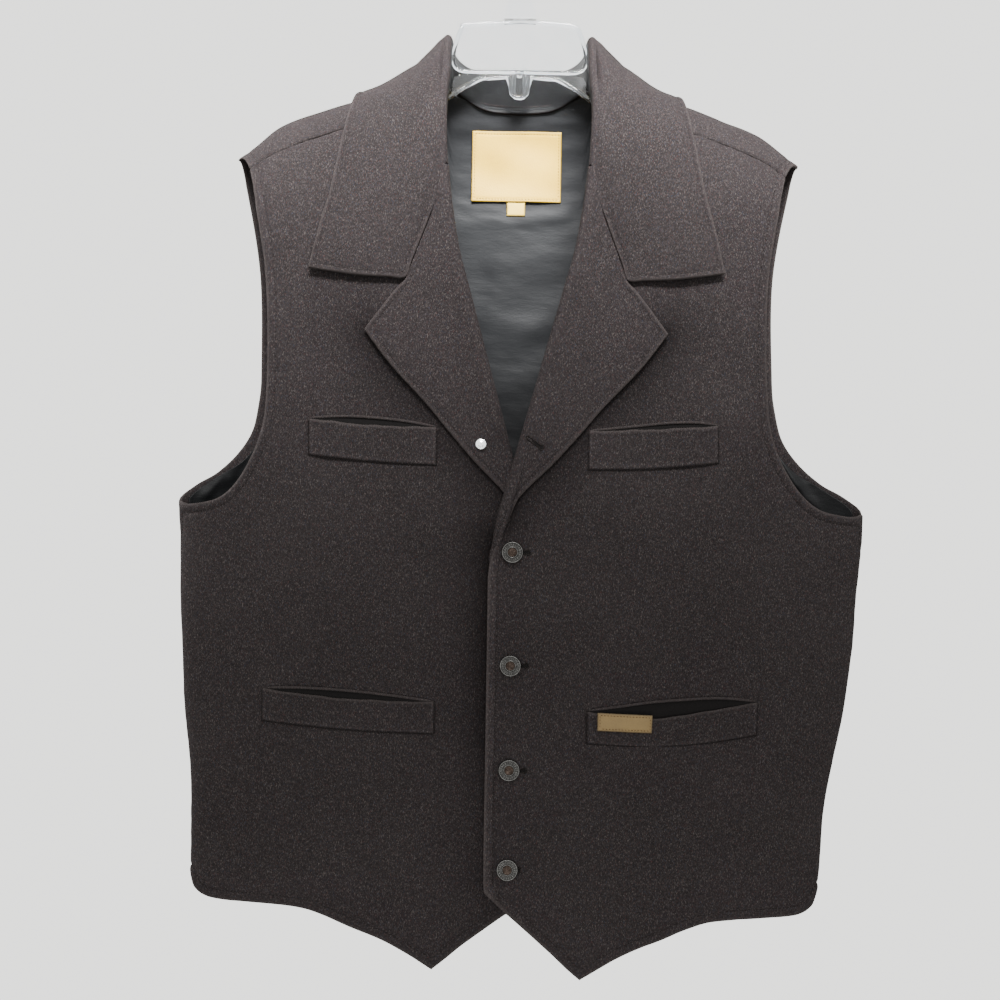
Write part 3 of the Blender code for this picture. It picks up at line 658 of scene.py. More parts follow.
def front_places(u, v):
    left = front_line(chain_at(FRONT_LEFT_SIDE, v))
    low = v <= SEAM_SHARE + 1e-9
    upper = front_line(chain_at(ARMHOLE_SIDE, (v[~low] - SEAM_SHARE) / (1 - SEAM_SHARE)))
    right = np.vstack([side_seam(-1, v[low] / SEAM_SHARE), upper])
    bottom = front_line(chain_at(HEM_SIDE, u))
    bottom[-1] = right[0]
    return patch(left, right, bottom, front_line(curve_at(SHOULDER_SEAM, u)), u, v)


def make_front(name, side):
    """One front with rounded edges, a stitched front edge, hem and armhole, and soft folds."""
    u = snap(shares(280, 11, 96), HEM_TIP_SHARE)
    v = snap(shares(640, 11, 165, 4), SEAM_SHARE, BREAK_SHARE)
    grid = front_places(u, v) * (side, 1)
    x, z = form_xz(grid)
    flat = place(grid)
    first = int(len(v) * SEAM_SHARE)
    edge = edge_distance(flat, [flat[:, 0], flat[0], flat[first:, -1]])
    seam = edge_distance(flat, [flat[:first, -1], flat[-1]])
    opening = edge_distance(flat, [flat[:, 0]])
    sunk = under_sink(x, z) if side < 0 else 0.0
    stand = hill(opening, 0, 1.6, 9.0) * (1 - ramp(z, -520, -470)) if side > 0 else 0.0
    detail = (hill(edge, 7.4, -0.85, 1.1) + soft_rim(edge) + soft_rim(seam, 2.2) + hill(edge, 3.4, 0.45, 2.0)
              + ripple(x, z, 5 if side > 0 else 8, 0.45, 60, 170) + ripple(x, z, 21, 0.10, 14, 40) + stand
              + line_hills(x, z, front_creases(side)) * np.clip(seam / 20, 0, 1))
    outer = place(grid, detail - sunk)
    inner = place(grid, -WOOL - sunk + 0.8 * stand)
    tone = front_tone(side, flat, opening, x, z)
    return wall(name, outer, inner, WOOL_LOOK, edge=np.minimum(edge, seam + 1.5), inner_look=SATIN_LOOK,
                tone=tone), outer, edge


def front_tone(side, flat, opening, x, z):
    """Painted shadow on the wool beside the lapel and, on the lower front, beside the upper front's edge; a
    paler band is painted along the upper front's edge below the break.
    """
    beside_lapel = edge_distance(flat, [place(front_line(LAPEL_EDGE[1:]) * (side, 1))])
    # painted shadow beside the lapel's edge
    tone = -0.52 * np.exp(-(beside_lapel / 22.0) ** 1.3) * ramp(z, -530, -480)
    if side > 0:
        return tone + 0.30 * (1 - ramp(opening, 5.5, 8.0)) * (1 - ramp(z, BREAK_Z, -495))
    # painted shadow of the upper front's edge on the lower front
    gap = np.maximum(BREAK_X - x, 0.0)
    shadow = (0.60 - 0.38 * ramp(-z, 620, 740)) * (1 - ramp(z, -500, -450))
    return np.minimum(tone, -shadow * np.exp(-(gap / 20.0) ** 1.2))


def front_creases(side):
    """Creases of one front: drag at the pockets, the armhole and the lowest button."""
    rows = [(70, -640, 190, -655, -0.9, 13), (86, -425, 150, -434, -0.7, 10),
            (204, -420, 236, -520, 1.4, 16), (190, -330, 182, -430, 1.1, 18),
            (24, -770, 60, -815, -0.9, 14), (30, -560, 26, -700, 0.8, 20),
            (150, -668, 170, -790, 1.2, 22), (232, -560, 226, -700, 1.1, 20)]
    if side > 0:
        rows += [(120, -650, 96, -760, 1.0, 20), (60, -560, 130, -600, 0.6, 18)]
    return [(side * x0, z0, side * x1, z1, h, w) for x0, z0, x1, z1, h, w in rows]


# Back and its lining

BACK_LOW = 8 / 22
BACK_MID = 16 / 22
BACK_SEAM_PART = 12 / 17
# Creases: x and z of the ends, height and width
BACK_CREASES = ((60, -330, 30, -600, 2.6, 20), (-64, -350, -34, -620, 2.4, 22),
                (170, -360, 150, -470, 2.4, 18), (-172, -350, -148, -475, 2.5, 18),
                (210, -480, 120, -560, 2.0, 16), (-208, -485, -118, -575, 2.1, 16),
                (20, -660, 44, -780, 2.0, 22), (-30, -640, -52, -780, 2.1, 20),
                (-90, -215, 90, -222, -1.4, 14), (-120, -300, -60, -250, 1.3, 14),
                (120, -300, 62, -250, 1.3, 14))
LINING_CREASES = ((-55, -232, 40, -222, 2.4, 7), (-20, -262, 62, -254, 2.0, 9), (-60, -150, 58, -143, 2.6, 7),
                  (-48, -300, 10, -318, 2.2, 12), (0, -330, 44, -300, 1.8, 10),
                  (-30, -372, 26, -358, 1.8, 11), (60, -170, 56, -300, 1.5, 8),
                  (-58, -165, -60, -290, 1.6, 8), (-10, -235, -22, -330, 1.7, 9),
                  (200, -250, 214, -400, 1.8, 9), (-200, -250, -214, -400, 1.8, 9),
                  (180, -420, 240, -452, 2.0, 8), (-180, -420, -240, -452, 2.0, 8),
                  (212, -405, 236, -446, 4.6, 5), (-212, -405, -238, -448, 4.6, 5),
                  (226, -428, 250, -462, 4.0, 4), (-232, -430, -256, -462, 4.0, 4),
                  (204, -380, 214, -430, 3.6, 5), (-204, -376, -216, -428, 3.6, 5))


def back_places(u, v):
    """Places of the back, which wraps over the shoulders to the front shoulder seams."""
    below = v <= BACK_LOW + 1e-9
    over = v > BACK_MID
    armhole = back_line(chain_at([(BACK_ARMHOLE_LOW, 4), (BACK_ARMHOLE_HIGH, 4)],
                                 (v[~below & ~over] - BACK_LOW) / (BACK_MID - BACK_LOW)))
    start = back_line(BACK_ARMHOLE_HIGH[-1])
    tip = front_line(RIDGE_TIP) * (1, 0)
    end = front_line(SHOULDER_SEAM[-1]) + (0, SEAM)
    way = 2 * ((v[over] - BACK_MID) / (1 - BACK_MID))[:, None]
    cap = np.where(way < 1, mix(start, tip, way), mix(tip, end, way - 1))
    right = np.vstack([side_seam(1, v[below] / BACK_LOW), armhole, cap])
    left = right * (-1, 1)
    reach = np.abs(2 * u - 1)
    t = np.clip((reach - (1 - BACK_SEAM_PART)) / BACK_SEAM_PART, 0, 1)
    seam = front_line(curve_at(SHOULDER_SEAM, t)) + (0, SEAM)
    neck_front = front_line(SHOULDER_SEAM[0]) + (0, SEAM)
    ridge = front_line(BACK_NECK[0]) * (1, 0)
    s = reach / (1 - BACK_SEAM_PART) * 5
    rear = back_line(curve_at(BACK_NECK, np.clip(1 - s / 3, 0, 1)))
    s = s[:, None]
    wrap = mix(ridge, neck_front, np.clip((s - 3) / 2, 0, 1))
    top = np.where(s > 5, seam, np.where(s > 3, wrap, rear))
    top[:, 0] *= np.where(u < 0.5, -1, 1)
    bottom = mix(left[0], right[0], u[:, None])
    corner_x, corner_z = HEM_OUTER[-1]
    x = corner_x * np.sin(bottom[:, 0])
    hem = mix(BACK_HEM, corner_z, np.abs(x / corner_x) ** 6)
    bottom[1:-1, 1] = run_of(read(SHOULDER, np.abs(x)) - hem)[1:-1]
    return patch(left, right, bottom, top, u, v)


def make_back():
    neck_half = (1 - BACK_SEAM_PART) / 2
    u = snap(shares(420, 8, 130), 0.5, 0.5 - neck_half, 0.5 + neck_half)
    v = snap(shares(700, 9, 150, 4), BACK_LOW, BACK_MID)
    grid = back_places(u, v)
    x, z = form_xz(grid)
    flat = place(grid)
    first = int(len(v) * BACK_LOW)
    edge = edge_distance(flat, [flat[0], flat[first:, 0], flat[first:, -1]])
    seam = edge_distance(flat, [flat[:first, 0], flat[:first, -1], flat[-1]])
    calm = np.clip(seam / 25, 0, 1)
    middle_seam = hill(np.abs(x), 0, -0.8, 1.6) * ramp(-z, 150, 180) * (grid[..., 1] > 0)
    detail = (hill(edge, 7.0, -0.5, 1.2) + soft_rim(edge) + soft_rim(seam, 2.2)
              + ripple(x, z, 31, 0.7, 70, 210) * calm + ripple(x, z, 33, 0.10, 14, 40)
              + line_hills(x, z, BACK_CREASES) * calm + middle_seam)
    outer = place(grid, detail)
    worn = np.minimum(edge, seam + 1.5)
    return wall("back_cloth", outer, place(grid, -WOOL), WOOL_LOOK, edge=worn), outer, edge


def make_lining():
    """Satin inside the back, with soft cross wrinkles that run into the armholes, and painted shade lower
    down inside the vest.
    """
    u = snap(np.linspace(0, 1, 205), 0.5)
    v = np.linspace(0, 1, 265)
    grid = back_places(u, v)[12:264, 12:-12]
    x, z = form_xz(grid)
    wrinkles = np.maximum(ripple(x, z * 2.6, 41, 0.30, 38, 110, 12), -0.6)
    wrinkles += 0.55 * line_hills(x, z, LINING_CREASES) + ripple(x, z * 3.0, 44, 0.12, 18, 44, 10)
    lift = -WOOL - LINING_AIR - 0.35 - np.maximum(wrinkles + 0.5, 0)
    face, rear = place(grid, lift), place(grid, lift - SATIN * 0.6)
    # painted shade: the satin is painted darker from z -300 down, deep inside the vest
    return wall("back_lining_satin", face, rear, SATIN_LOOK, bulge=0.2, tone=-0.62 * ramp(-z, 300, 430))


# Collar and lapels

TUCK_SHIFT = (-0.7, -1.0)
TUCK_START = (61.0, -201.5)
CORNER_RISE = 4.5
LAPEL_RISE = 3.0
# Fine column of the collar from which the gorge edge lies free
GORGE_FREE = 24


def make_collar():
    """One folded sheet: stand from the neck edge, fold, and leaf; its lower front corners are square."""
    stations, gorge_steps = 28, 6
    t = np.linspace(0, 1, stations + 1)
    crest = curve_at(COLLAR_CREST, t)
    foot_places = np.vstack([front_line(COLLAR_FOOT_FRONT), front_line(COLLAR_FOOT_BACK[0]) * (1, 0),
                             back_line(COLLAR_FOOT_BACK[1:])])
    at_back = np.clip((np.arange(len(foot_places)) - 2) / 3, 0, 1)
    foot_places[:, 1] += 9.0 * at_back
    foot = curve_at(place(foot_places, -WOOL + 0.2 - 5.0 * at_back), t)
    edge_places = np.vstack([front_line(LEAF_EDGE_FRONT), back_line(LEAF_EDGE_BACK)])
    height = np.array(LEAF_EDGE_FRONT, float)[:, 1]
    free = CORNER_RISE * (1 - ramp(height, -278, -190)) + 3.0 * ramp(height, -250, -140)
    edge = curve_at(place(edge_places, LEAF_REST + np.append(free, [3.0] * len(LEAF_EDGE_BACK))), t)
    along = unit(np.gradient(crest, axis=0))
    up = mix(np.array([-1, 0, 0.2]), np.array([-0.15, 0, 1]), ramp(t, 0, 0.4)[:, None])
    up = unit(up - along * (up * along).sum(1, keepdims=True))
    out = np.cross(along, up)
    fold_in = crest - (out + up * 0.8) * CREST_RADIUS
    fold_out = crest + (out - up * 0.8) * CREST_RADIUS
    left, right = locate(fold_out), locate(edge)
    steps = np.linspace(0, 1, gorge_steps + 1)[1:]
    low = np.vstack([curve_at(GORGE, steps), curve_at(COLLAR_FRONT_EDGE, steps)])
    corner = np.concatenate([0.35 * steps, mix(0.35, 1.0, ramp(steps, 0, 0.6))])
    bottom = np.vstack([left[:1], np.column_stack([front_line(low), LEAF_REST + CORNER_RISE * corner])])
    bottom[1:4, 2] += (1.6, 1.0, 0.4)
    u = np.linspace(0, 1, len(bottom))
    top = np.stack([0 * u, mix(left[-1][1], right[-1][1], u),
                    mix(right[-1][2], left[-1][2], (1 - u) ** 1.3)], -1)
    leaf = patch(left, right, bottom, top, u, t)
    settled = mix(right[:, None, 2], left[:, None, 2], (1 - u[None]) ** 1.3)
    keep = ramp(np.arange(stations + 1), 0, 4)[:, None]
    leaf[:, 1:-1, 2] = mix(np.broadcast_to(bottom[None, :, 2], settled.shape), settled, keep)[:, 1:-1]
    stand = [mix(foot, fold_in, s) for s in (0, 0.25, 0.5, 0.75, 1.0)] + [crest]
    half = np.concatenate([np.stack(stand, 1), place(leaf[..., :2], leaf[..., 2])], axis=1)
    whole = np.concatenate([half, (half * (-1, 1, 1))[-2::-1]])
    width = whole.shape[1] - 1
    rows = snap(shares(620, 8, 190) * (len(whole) - 1), stations)
    near = snap(finer((0, 6, 16), (6, width - 0.6, 44), (width - 0.6, width, 9)), 12.0)
    middle = refine(whole, rows, near)
    edge_mm = edge_distance(middle, [middle[:, -1], middle[0, GORGE_FREE:], middle[-1, GORGE_FREE:]])
    rise = stitched_rim(edge_mm) + ripple(middle[..., 0], middle[..., 2], 51, 0.35, 40, 120)
    outer, inner, face, front_is_outer = two_faces(middle, rise, (5, -5))
    # painted shade: the stand inside the neck is painted darker, darkest along its foot edge
    shade = -0.28 * (1 - ramp(near, 3.2, 4.0)) - 0.38 * (1 - ramp(near, 0.1, 0.9))
    thing = wall("collar_cloth", outer, inner, WOOL_LOOK, edge=edge_mm, tone=shade[None] + 0 * edge_mm)
    thing.data.materials.append(SATIN_LOOK)
    across = len(near) - 1
    quads = across * (len(rows) - 1)
    stand_columns = int(np.searchsorted(near, 4.0))
    first = 0 if front_is_outer else quads
    for quad in thing.data.polygons[first:first + quads]:
        if (quad.index - first) % across < stand_columns:
            quad.material_index = 1
    return thing, face, edge_mm


def make_lapel(name, side):
    """A lapel turned over at the roll line; the right one tucks beneath the left front."""
    rows = 26
    t = np.linspace(0, 1, rows + 1)
    run_points = chain_at([(BREAK_RUN[1:], 1), (ROLL, 9), (ROLL_TOP, 3)], np.linspace(0, 1, 14))
    base = curve_at(run_points, t)
    base[-1] += TUCK_SHIFT
    base[-2] += np.array(TUCK_SHIFT) * 0.4
    start = base + (3, 0)
    start[-1] = TUCK_START
    steps = np.linspace(0, 1, 7)[1:]
    gorge = np.array(GORGE) - (0.8, 0.3)
    top = np.vstack([start[-1:], curve_at(gorge, steps), curve_at(LAPEL_TOP, steps)])
    right = curve_at(LAPEL_EDGE, t)
    u = np.linspace(0, 1, len(top))
    bottom = mix(start[0], right[0], u[:, None])
    flat = patch(start, right, bottom, top, u, t)
    sink = under_sink(-base[:, 0], base[:, 1]) if side < 0 else np.zeros(rows + 1)
    tight = mix(1.0, 0.62, ramp(sink, 3.0, 7.0))[:, None]
    section = np.array(ROLL_SECTION)
    roll_x = base[:, :1] + section[:, 0]
    roll_z = np.broadcast_to(base[:, 1:], roll_x.shape)
    rest_lift = np.minimum(mix(LEAF_REST, section[-1, 1] * tight, (1 - u) ** 2.2), section[-1, 1] * tight)
    rest_lift = rest_lift + LAPEL_RISE * u ** 2 * ramp(t, 0.30, 0.95)[:, None]
    px = np.concatenate([roll_x, flat[..., 0]], 1)
    pz = np.concatenate([roll_z, flat[..., 1]], 1)
    faded = ramp(t, 0.0, 0.13)[:, None]
    px[:, :section.shape[0]] += (1 - faded) * 3.2
    lift = mix(-1.15, np.concatenate([section[:, 1] * tight, rest_lift], 1), faded)
    places = on_front(px, pz) * (side, 1)
    sunk = under_sink(*form_xz(places)) if side < 0 else 0.0
    coarse = place(places, lift - sunk)
    width = coarse.shape[1] - 1
    near = snap(finer((0, 4, 14), (4, width - 0.7, 40), (width - 0.7, width, 9)), 11.0)
    middle = refine(coarse, finer((0, rows - 1, 120), (rows - 1, rows, 9)), near)
    notch = int(np.argmin(np.abs(near - 11)))
    edge_mm = edge_distance(middle, [middle[:, -1], middle[-1, notch:]])
    rise = stitched_rim(edge_mm) + ripple(middle[..., 0], middle[..., 2], 61, 0.3, 40, 110)
    rise *= np.clip((np.arange(len(near)) - 6) / 8, 0, 1)[None]
    outer, inner, face, _ = two_faces(middle, rise, (60, -6))
    return wall(name, outer, inner, WOOL_LOOK, edge=edge_mm), face, edge_mm


# Welts and labels

# Each pocket, by kind and side: its lip's height over the welt's top line, the welt's fall, its foot's sag
POCKETS = {
    (0, -1): (((0, 0), (0.28, 3.0), (0.5, 3.8), (0.72, 3.3), (1, 0)),
              ((0, 0), (0.28, 1.2), (0.5, 2.0), (0.72, 1.5), (1, 0)), 1.3),
    (0, 1): (((0, 0), (0.33, 1.8), (0.62, 3.6), (0.83, 3.0), (1, 0)),
             ((0, 0), (0.33, 0.4), (0.62, 0.6), (0.83, 0.2), (1, 0)), 2.0),
    (1, -1): (((0, 0), (0.25, 2.6), (0.5, 4.0), (0.75, 3.2), (1, 0)),
              ((0, 0), (0.3, 1.6), (0.55, 2.2), (0.8, 1.3), (1, 0)), 1.5),
    (1, 1): (((0, 0), (0.17, 2.0), (0.37, 4.7), (0.58, 5.6), (0.71, 5.6), (0.84, 4.0), (1, 0)),
             ((0, 0), (0.17, 4.7), (0.37, 7.5), (0.58, 6.2), (0.71, 3.8), (0.84, 2.2), (1, 0)), 5.0),
}


def welt_spots(index, side, uu, vv):
    """x, z of places on a welt, from its foot (v 0) to its falling top edge (v 1)."""
    name, z0, z1, tall_in, tall_out = WELTS[index]
    x0, x1 = WELT_ENDS[name, side]
    _, fall, sag = POCKETS[index, side]
    bow = np.sin(math.pi * np.clip(uu, 0, 1))
    low = mix(z0 - tall_in, z1 - tall_out, uu) - sag * bow
    high = mix(z0, z1, uu) - read(fall, uu)
    return mix(x0, x1, uu) * side, mix(low, high, vv)


def welt_stand(index, side, across, up):
    """How far the cloth of a gaping welt stands off the front."""
    lip, fall, _ = POCKETS[index, side]
    gape = read(fall, across) + read(lip, across) * 0.35
    return (0.5 + 0.32 * gape) * up ** 1.5


def make_welt(index, side, name):
    """A pocket welt, sunk along its foot and sides; its folded top edge stands away as the pocket gapes."""
    x0, x1 = WELT_ENDS[WELTS[index][0], side]
    width = x1 - x0
    uu, vv = np.meshgrid(shares(width, 5, 110), shares(WELT_TALL, 4, 34))
    x, z = welt_spots(index, side, uu, vv)
    z = z + (0.25 * np.sin(uu * 19 + index * 2 + side) + 0.15 * np.sin(uu * 41)) * vv
    places = on_front(x, z)
    stand = welt_stand(index, side, uu, vv)
    flat = np.stack([uu * width, 0 * uu, vv * WELT_TALL], -1)
    sewn = edge_distance(flat, [flat[0], flat[:, 0], flat[:, -1]])
    top = edge_distance(flat, [flat[-1]])
    sunk = np.clip(1 - sewn / 2.0, 0, 1)
    detail = -1.9 * (1 - np.sqrt(np.maximum(1 - sunk ** 2, 0))) + soft_rim(top, 1.3)
    detail += hill(sewn, 3.0, 0.35, 1.6) + hill(top, 1.6, 0.3, 1.2)
    detail += ripple(x, z, 71 + index, 0.25, 18, 60) * np.clip(sewn / 6, 0, 1)
    outer = place(places, 1.35 + stand + detail)
    inner = place(places, -0.9 + stand * 1.2)
    # painted shade in the sunk seam round the welt's foot and sides, and a painted highlight on the ridge
    # just inside it
    tone = hill(sewn, 3.1, 0.24, 0.9) + hill(sewn, 1.0, -0.55, 0.8)
    return wall(name + "_cloth", outer, inner, WOOL_LOOK, edge=top + 0.4, tone=tone), outer, sewn


def pocket_mouth(index, side, name):
    """A dark sheet painted as the shade inside the opening above a gaping welt, and the rolled edge of the
    front above it.
    """
    lip_rows = POCKETS[index, side][0]
    u = np.linspace(0.012, 0.988, 90)
    uu, vv = np.meshgrid(u, np.linspace(0, 1, 12))
    x, top = welt_spots(index, side, uu, np.ones_like(vv))
    _, z0, z1, *_ = WELTS[index]
    lip = mix(z0, z1, uu) + read(lip_rows, uu)
    places = on_front(x, mix(top - 5.0, lip, vv))
    dark = wall(name + "_mouth", place(places, 0.62), place(places, 0.30), PAINTED_SHADE_LOOK, bulge=0.1)
    roll = place(on_front(x[-1], lip[-1] + 0.7), 0.25 + 0.30 * read(lip_rows, u))
    return dark, sweep(name + "_lip", roll, 1.15, WOOL_LOOK)


def tube_faces(rings, sides):
    """Faces between rings of points, with both ends closed."""
    faces = []
    for i in range(rings - 1):
        for k in range(sides):
            n = (k + 1) % sides
            faces.append((i * sides + k, i * sides + n, (i + 1) * sides + n, (i + 1) * sides + k))
    return faces + [tuple(range(sides)), tuple((rings - 1) * sides + k for k in range(sides))]


def sweep(name, line, radius, look, sides=10, edge=1.2):
    """A rounded strip along a line, thinning to nothing at both ends."""
    along = unit(np.gradient(line, axis=0))
    away = np.cross(along, (0, 0, 1.0))
    away = unit(away * np.sign(-away[:, 1:2] + 1e-9))
    up = np.cross(along, away)
    t = np.linspace(0, 1, len(line))
    thin = np.clip(np.minimum(t, 1 - t) * 14, 0.12, 1) ** 0.5 * radius
    points = []
    for i in range(len(line)):
        for k in range(sides):
            a = 2 * math.pi * k / sides
            points.append(line[i] + thin[i] * (math.cos(a) * away[i] * 0.8 + math.sin(a) * up[i]))
    return add_object(name, np.array(points), tube_faces(len(line), sides), look, np.full(len(points), edge))


def label_grid(wide, tall, columns, rows):
    """Shares across and up a label, and the distance from its border."""
    u, v = np.meshgrid(shares(wide, 3, columns), shares(tall, 3, rows))
    flat = np.stack([u * wide, 0 * u, v * tall], -1)
    return u, v, edge_distance(flat, [flat[0], flat[-1], flat[:, 0], flat[:, -1]])


def label_wall(name, places, front, rear, look, edge):
    face = place(places, front)
    return wall(name + "_face", face, place(places, rear), look, bulge=0.3, edge=edge), face, edge


def label_on_lining(name, spot, look, bend, stitched):
    """A bare label on the satin inside the back."""
    x0, z0, wide, tall = spot
    u, v, edge = label_grid(wide, tall, 50, 40)
    x, z = x0 + (u - 0.5) * wide, z0 + (v - 0.5) * tall
    wave = bend * (np.sin(x * 0.11 + 0.4) * np.sin(z * 0.07) + 0.6 * np.cos(z * 0.16 + x * 0.05))
    rear = -WOOL - LINING_AIR - SATIN - LEATHER - np.abs(bend) + wave
    detail = (hill(edge, 2.0, -0.45, 0.8) if stitched else 0) + soft_rim(edge, 0.8)
    return label_wall(name, on_back(x, z), rear - LEATHER - detail, rear, look, edge)


def label_on_welt():
    """The bare leather label across the left lower welt's top edge."""
    x0, z0, wide, tall = POCKET_LABEL
    name, welt_z0, _, tall_in, _ = WELTS[1]
    welt_x0, welt_x1 = WELT_ENDS[name, 1]
    sag = POCKETS[1, 1][2]
    u, v, edge = label_grid(wide, tall, 40, 16)
    x = x0 + (u - 0.5) * wide
    z = z0 + (v - 0.5) * tall - (u - 0.5) * 1.2
    up = np.clip((z - (welt_z0 - tall_in - sag)) / (tall_in + sag - 5), 0, 1)
    rear = 1.9 + welt_stand(1, 1, (x - welt_x0) / (welt_x1 - welt_x0), up)
    detail = hill(edge, 1.6, -0.35, 0.7) + soft_rim(edge, 0.8)
    return label_wall("pocket_label", on_front(x, z), rear + 1.3 + detail, rear, POCKET_LEATHER_LOOK, edge)


# Fasteners

BUTTON_TILTS = ((0.02, 0, 0.03), (-0.05, 0, -0.04), (0.06, 0, 0.12), (-0.03, 0, 0.16))
STUD_RADIUS = 4.3
STUD_LIFT = 3.3

def frame_at(spot, normal, spin=0.0):
    """Matrix that sets a piece's Z along the cloth's outward direction."""
    turn = Vector(normal).to_track_quat("Z", "Y").to_matrix().to_4x4()
    return Matrix.Translation(Vector(spot) * MM) @ turn @ Matrix.Rotation(spin, 4, "Z")


def lathe(name, profile, steps, look, matrix, waves=None, tones=None):
    """A turned piece; waves(angle, radius, height) raises its front and tones(radius, rise) shades it."""
    points, tone = [], []
    for r, h in profile:
        for k in range(steps):
            a = 2 * math.pi * k / steps
            rise = waves(a, r, h) if waves else 0.0
            points.append((r * math.cos(a), r * math.sin(a), h + rise))
            tone.append(tones(r, rise) if tones else 0.0)
    points = np.array(points) * MM
    rotated = points @ np.array(matrix.to_3x3()).T + np.array(matrix.translation)
    return add_object(name, rotated / MM, tube_faces(len(profile), steps), look, tone=tone)


def smooth_profile(rows, parts=5):
    return [tuple(p) for p in curve_at(rows, np.linspace(0, 1, len(rows) * parts))]


def make_button(number, z):
    """Antique pewter button: two rims with plain beads between them, round a recessed copper centre."""
    where = on_front(0.0, z)
    normal = outward(*where) + np.array(BUTTON_TILTS[number - 1])
    matrix = frame_at(place(where, 0.45), normal / np.linalg.norm(normal), 0.3 * number)
    r = BUTTON_RADIUS

    def beads(a, radius, h):
        if h < 2.2 or not 0.56 < radius / r < 0.90:
            return 0.0
        uneven = 0.75 + 0.25 * math.sin(a * 5 + number)
        return uneven * max(0.0, math.cos(a * 22)) ** 0.7 * hill(radius / r, 0.735, 0.42, 0.09)

    def worn_metal(radius, rise):
        rims = hill(radius / r, 0.94, 1.0, 0.045) + hill(radius / r, 0.49, 0.7, 0.04)
        return 1.9 * rims + 2.6 * rise - 0.3

    def star(a, radius, _height):
        return max(0.0, math.cos(a * 2.5 + 0.4)) ** 2 * hill(radius / r, 0.20, 0.30, 0.11)

    ring = smooth_profile(((r * 0.42, 2.3), (r * 0.45, 3.0), (r * 0.49, 3.35), (r * 0.54, 3.05),
                           (r * 0.60, 2.75), (r * 0.85, 2.8), (r * 0.90, 3.5), (r * 0.96, 3.55), (r, 2.9),
                           (r, 2.2), (r * 0.96, 1.6), (r * 0.5, 1.0), (2.8, 0.9), (2.6, 0.0)), 4)
    dome = smooth_profile(((r * 0.45, 1.6), (r * 0.44, 2.3), (r * 0.37, 2.45), (r * 0.25, 2.65),
                           (r * 0.12, 2.8), (r * 0.03, 2.85)), 4)
    return (lathe(f"button_ring_{number}", ring, 132, PEWTER_LOOK, matrix, beads, worn_metal),
            lathe(f"button_centre_{number}", dome, 60, COPPER_LOOK, matrix, star))


def make_stud():
    """Small silver stud on the under lapel."""
    where = front_line(STUD_AT)
    matrix = frame_at(place(where, STUD_LIFT), outward(*where))
    r = STUD_RADIUS
    profile = smooth_profile(((0.2, 1.95), (r * 0.35, 1.85), (r * 0.62, 1.35), (r * 0.78, 1.25),
                              (r * 0.93, 1.0), (r, 0.6), (r, 0.05)), 4)
    return lathe("lapel_stud_cap", profile, 48, STUD_LOOK, matrix)


# Stitching

def contours(grid, distance, at):
    """Lines on a surface grid where a distance field has one value."""
    side = distance > at
    links = {}
    spots = {}

    def crossing(a, b):
        key = (a, b)
        if key not in spots:
            t = (at - distance[a]) / (distance[b] - distance[a])
            spots[key] = mix(grid[a], grid[b], t)
        return key

    mixed = np.argwhere((side[:-1, :-1] != side[1:, 1:]) | (side[:-1, 1:] != side[1:, :-1])
                        | (side[:-1, :-1] != side[:-1, 1:]))
    for k, j in mixed.tolist():
        corners = [(k, j), (k, j + 1), (k + 1, j + 1), (k + 1, j)]
        pairs = [(corners[0], corners[1]), (corners[1], corners[2]), (corners[3], corners[2]),
                 (corners[0], corners[3])]
        cut = [crossing(a, b) for a, b in pairs if side[a] != side[b]]
        for a, b in zip(cut[::2], cut[1::2]):
            links.setdefault(a, []).append(b)
            links.setdefault(b, []).append(a)
    lines = []
    while links:
        start = next((key for key, near in links.items() if len(near) == 1), next(iter(links)))
        line = [start]
        while links.get(line[-1]):
            here = line[-1]
            after = links[here].pop()
            links[after].remove(here)
            if not links[here]:
                del links[here]
            line.append(after)
        links.pop(line[-1], None)
        links = {key: near for key, near in links.items() if near}
        if len(line) > 4:
            lines.append(np.array([spots[key] for key in line]))
    return lines


STITCH_SHAPE = np.array([(1, 0, 0), (0, 1, 0), (-1, 0, 0), (0, -1, 0), (0, 0, 1), (0, 0, -1)], float)
STITCH_FACES = [(0, 1, 4), (1, 2, 4), (2, 3, 4), (3, 0, 4), (1, 0, 5), (2, 1, 5), (3, 2, 5), (0, 3, 5)]


def sew(name, lines, centre, look, pitch=3.2, size=(1.15, 0.42, 0.34), lift=0.1):
    """One mesh of small stitches along lines; centre is a point that the stitches face away from."""
    points = []
    for line in lines:
        gone = path_length(line)
        want = np.arange(pitch, gone[-1] - pitch * 0.5, pitch)
        spots = at_length(line, gone, want)
        along = unit(at_length(line, gone, want + 1) - spots)
        away = (spots - centre) * (1, 1, 0)
        away = unit(away - along * (away * along).sum(1, keepdims=True))
        turned = np.stack([along, np.cross(away, along), away], 1)
        points.append((spots + away * lift)[:, None] + (STITCH_SHAPE * size) @ turned)
    points = np.concatenate(points).reshape(-1, 3)
    faces = [tuple(first + i for i in face) for first in range(0, len(points), len(STITCH_SHAPE))
             for face in STITCH_FACES]
    return add_object(name, points, faces, look)


WELL_IN_FRONT = -300


def hit(trees, x, z, lift):
    """A point raised off the first cloth met at x, z from the front."""
    best = None
    for tree in trees:
        found = tree.ray_cast(Vector((x, WELL_IN_FRONT, z)) * MM, Vector((0, 1, 0)))
        if found[0] is not None and (best is None or found[0].y < best[0].y):
            best = found
    spot, normal = np.array(best[0]) / MM, np.array(best[1])
    return spot + normal * (lift if normal[1] < 0 else -lift)


def tree_of(thing):
    data = thing.data
    return BVHTree.FromPolygons([v.co for v in data.vertices], [p.vertices for p in data.polygons])


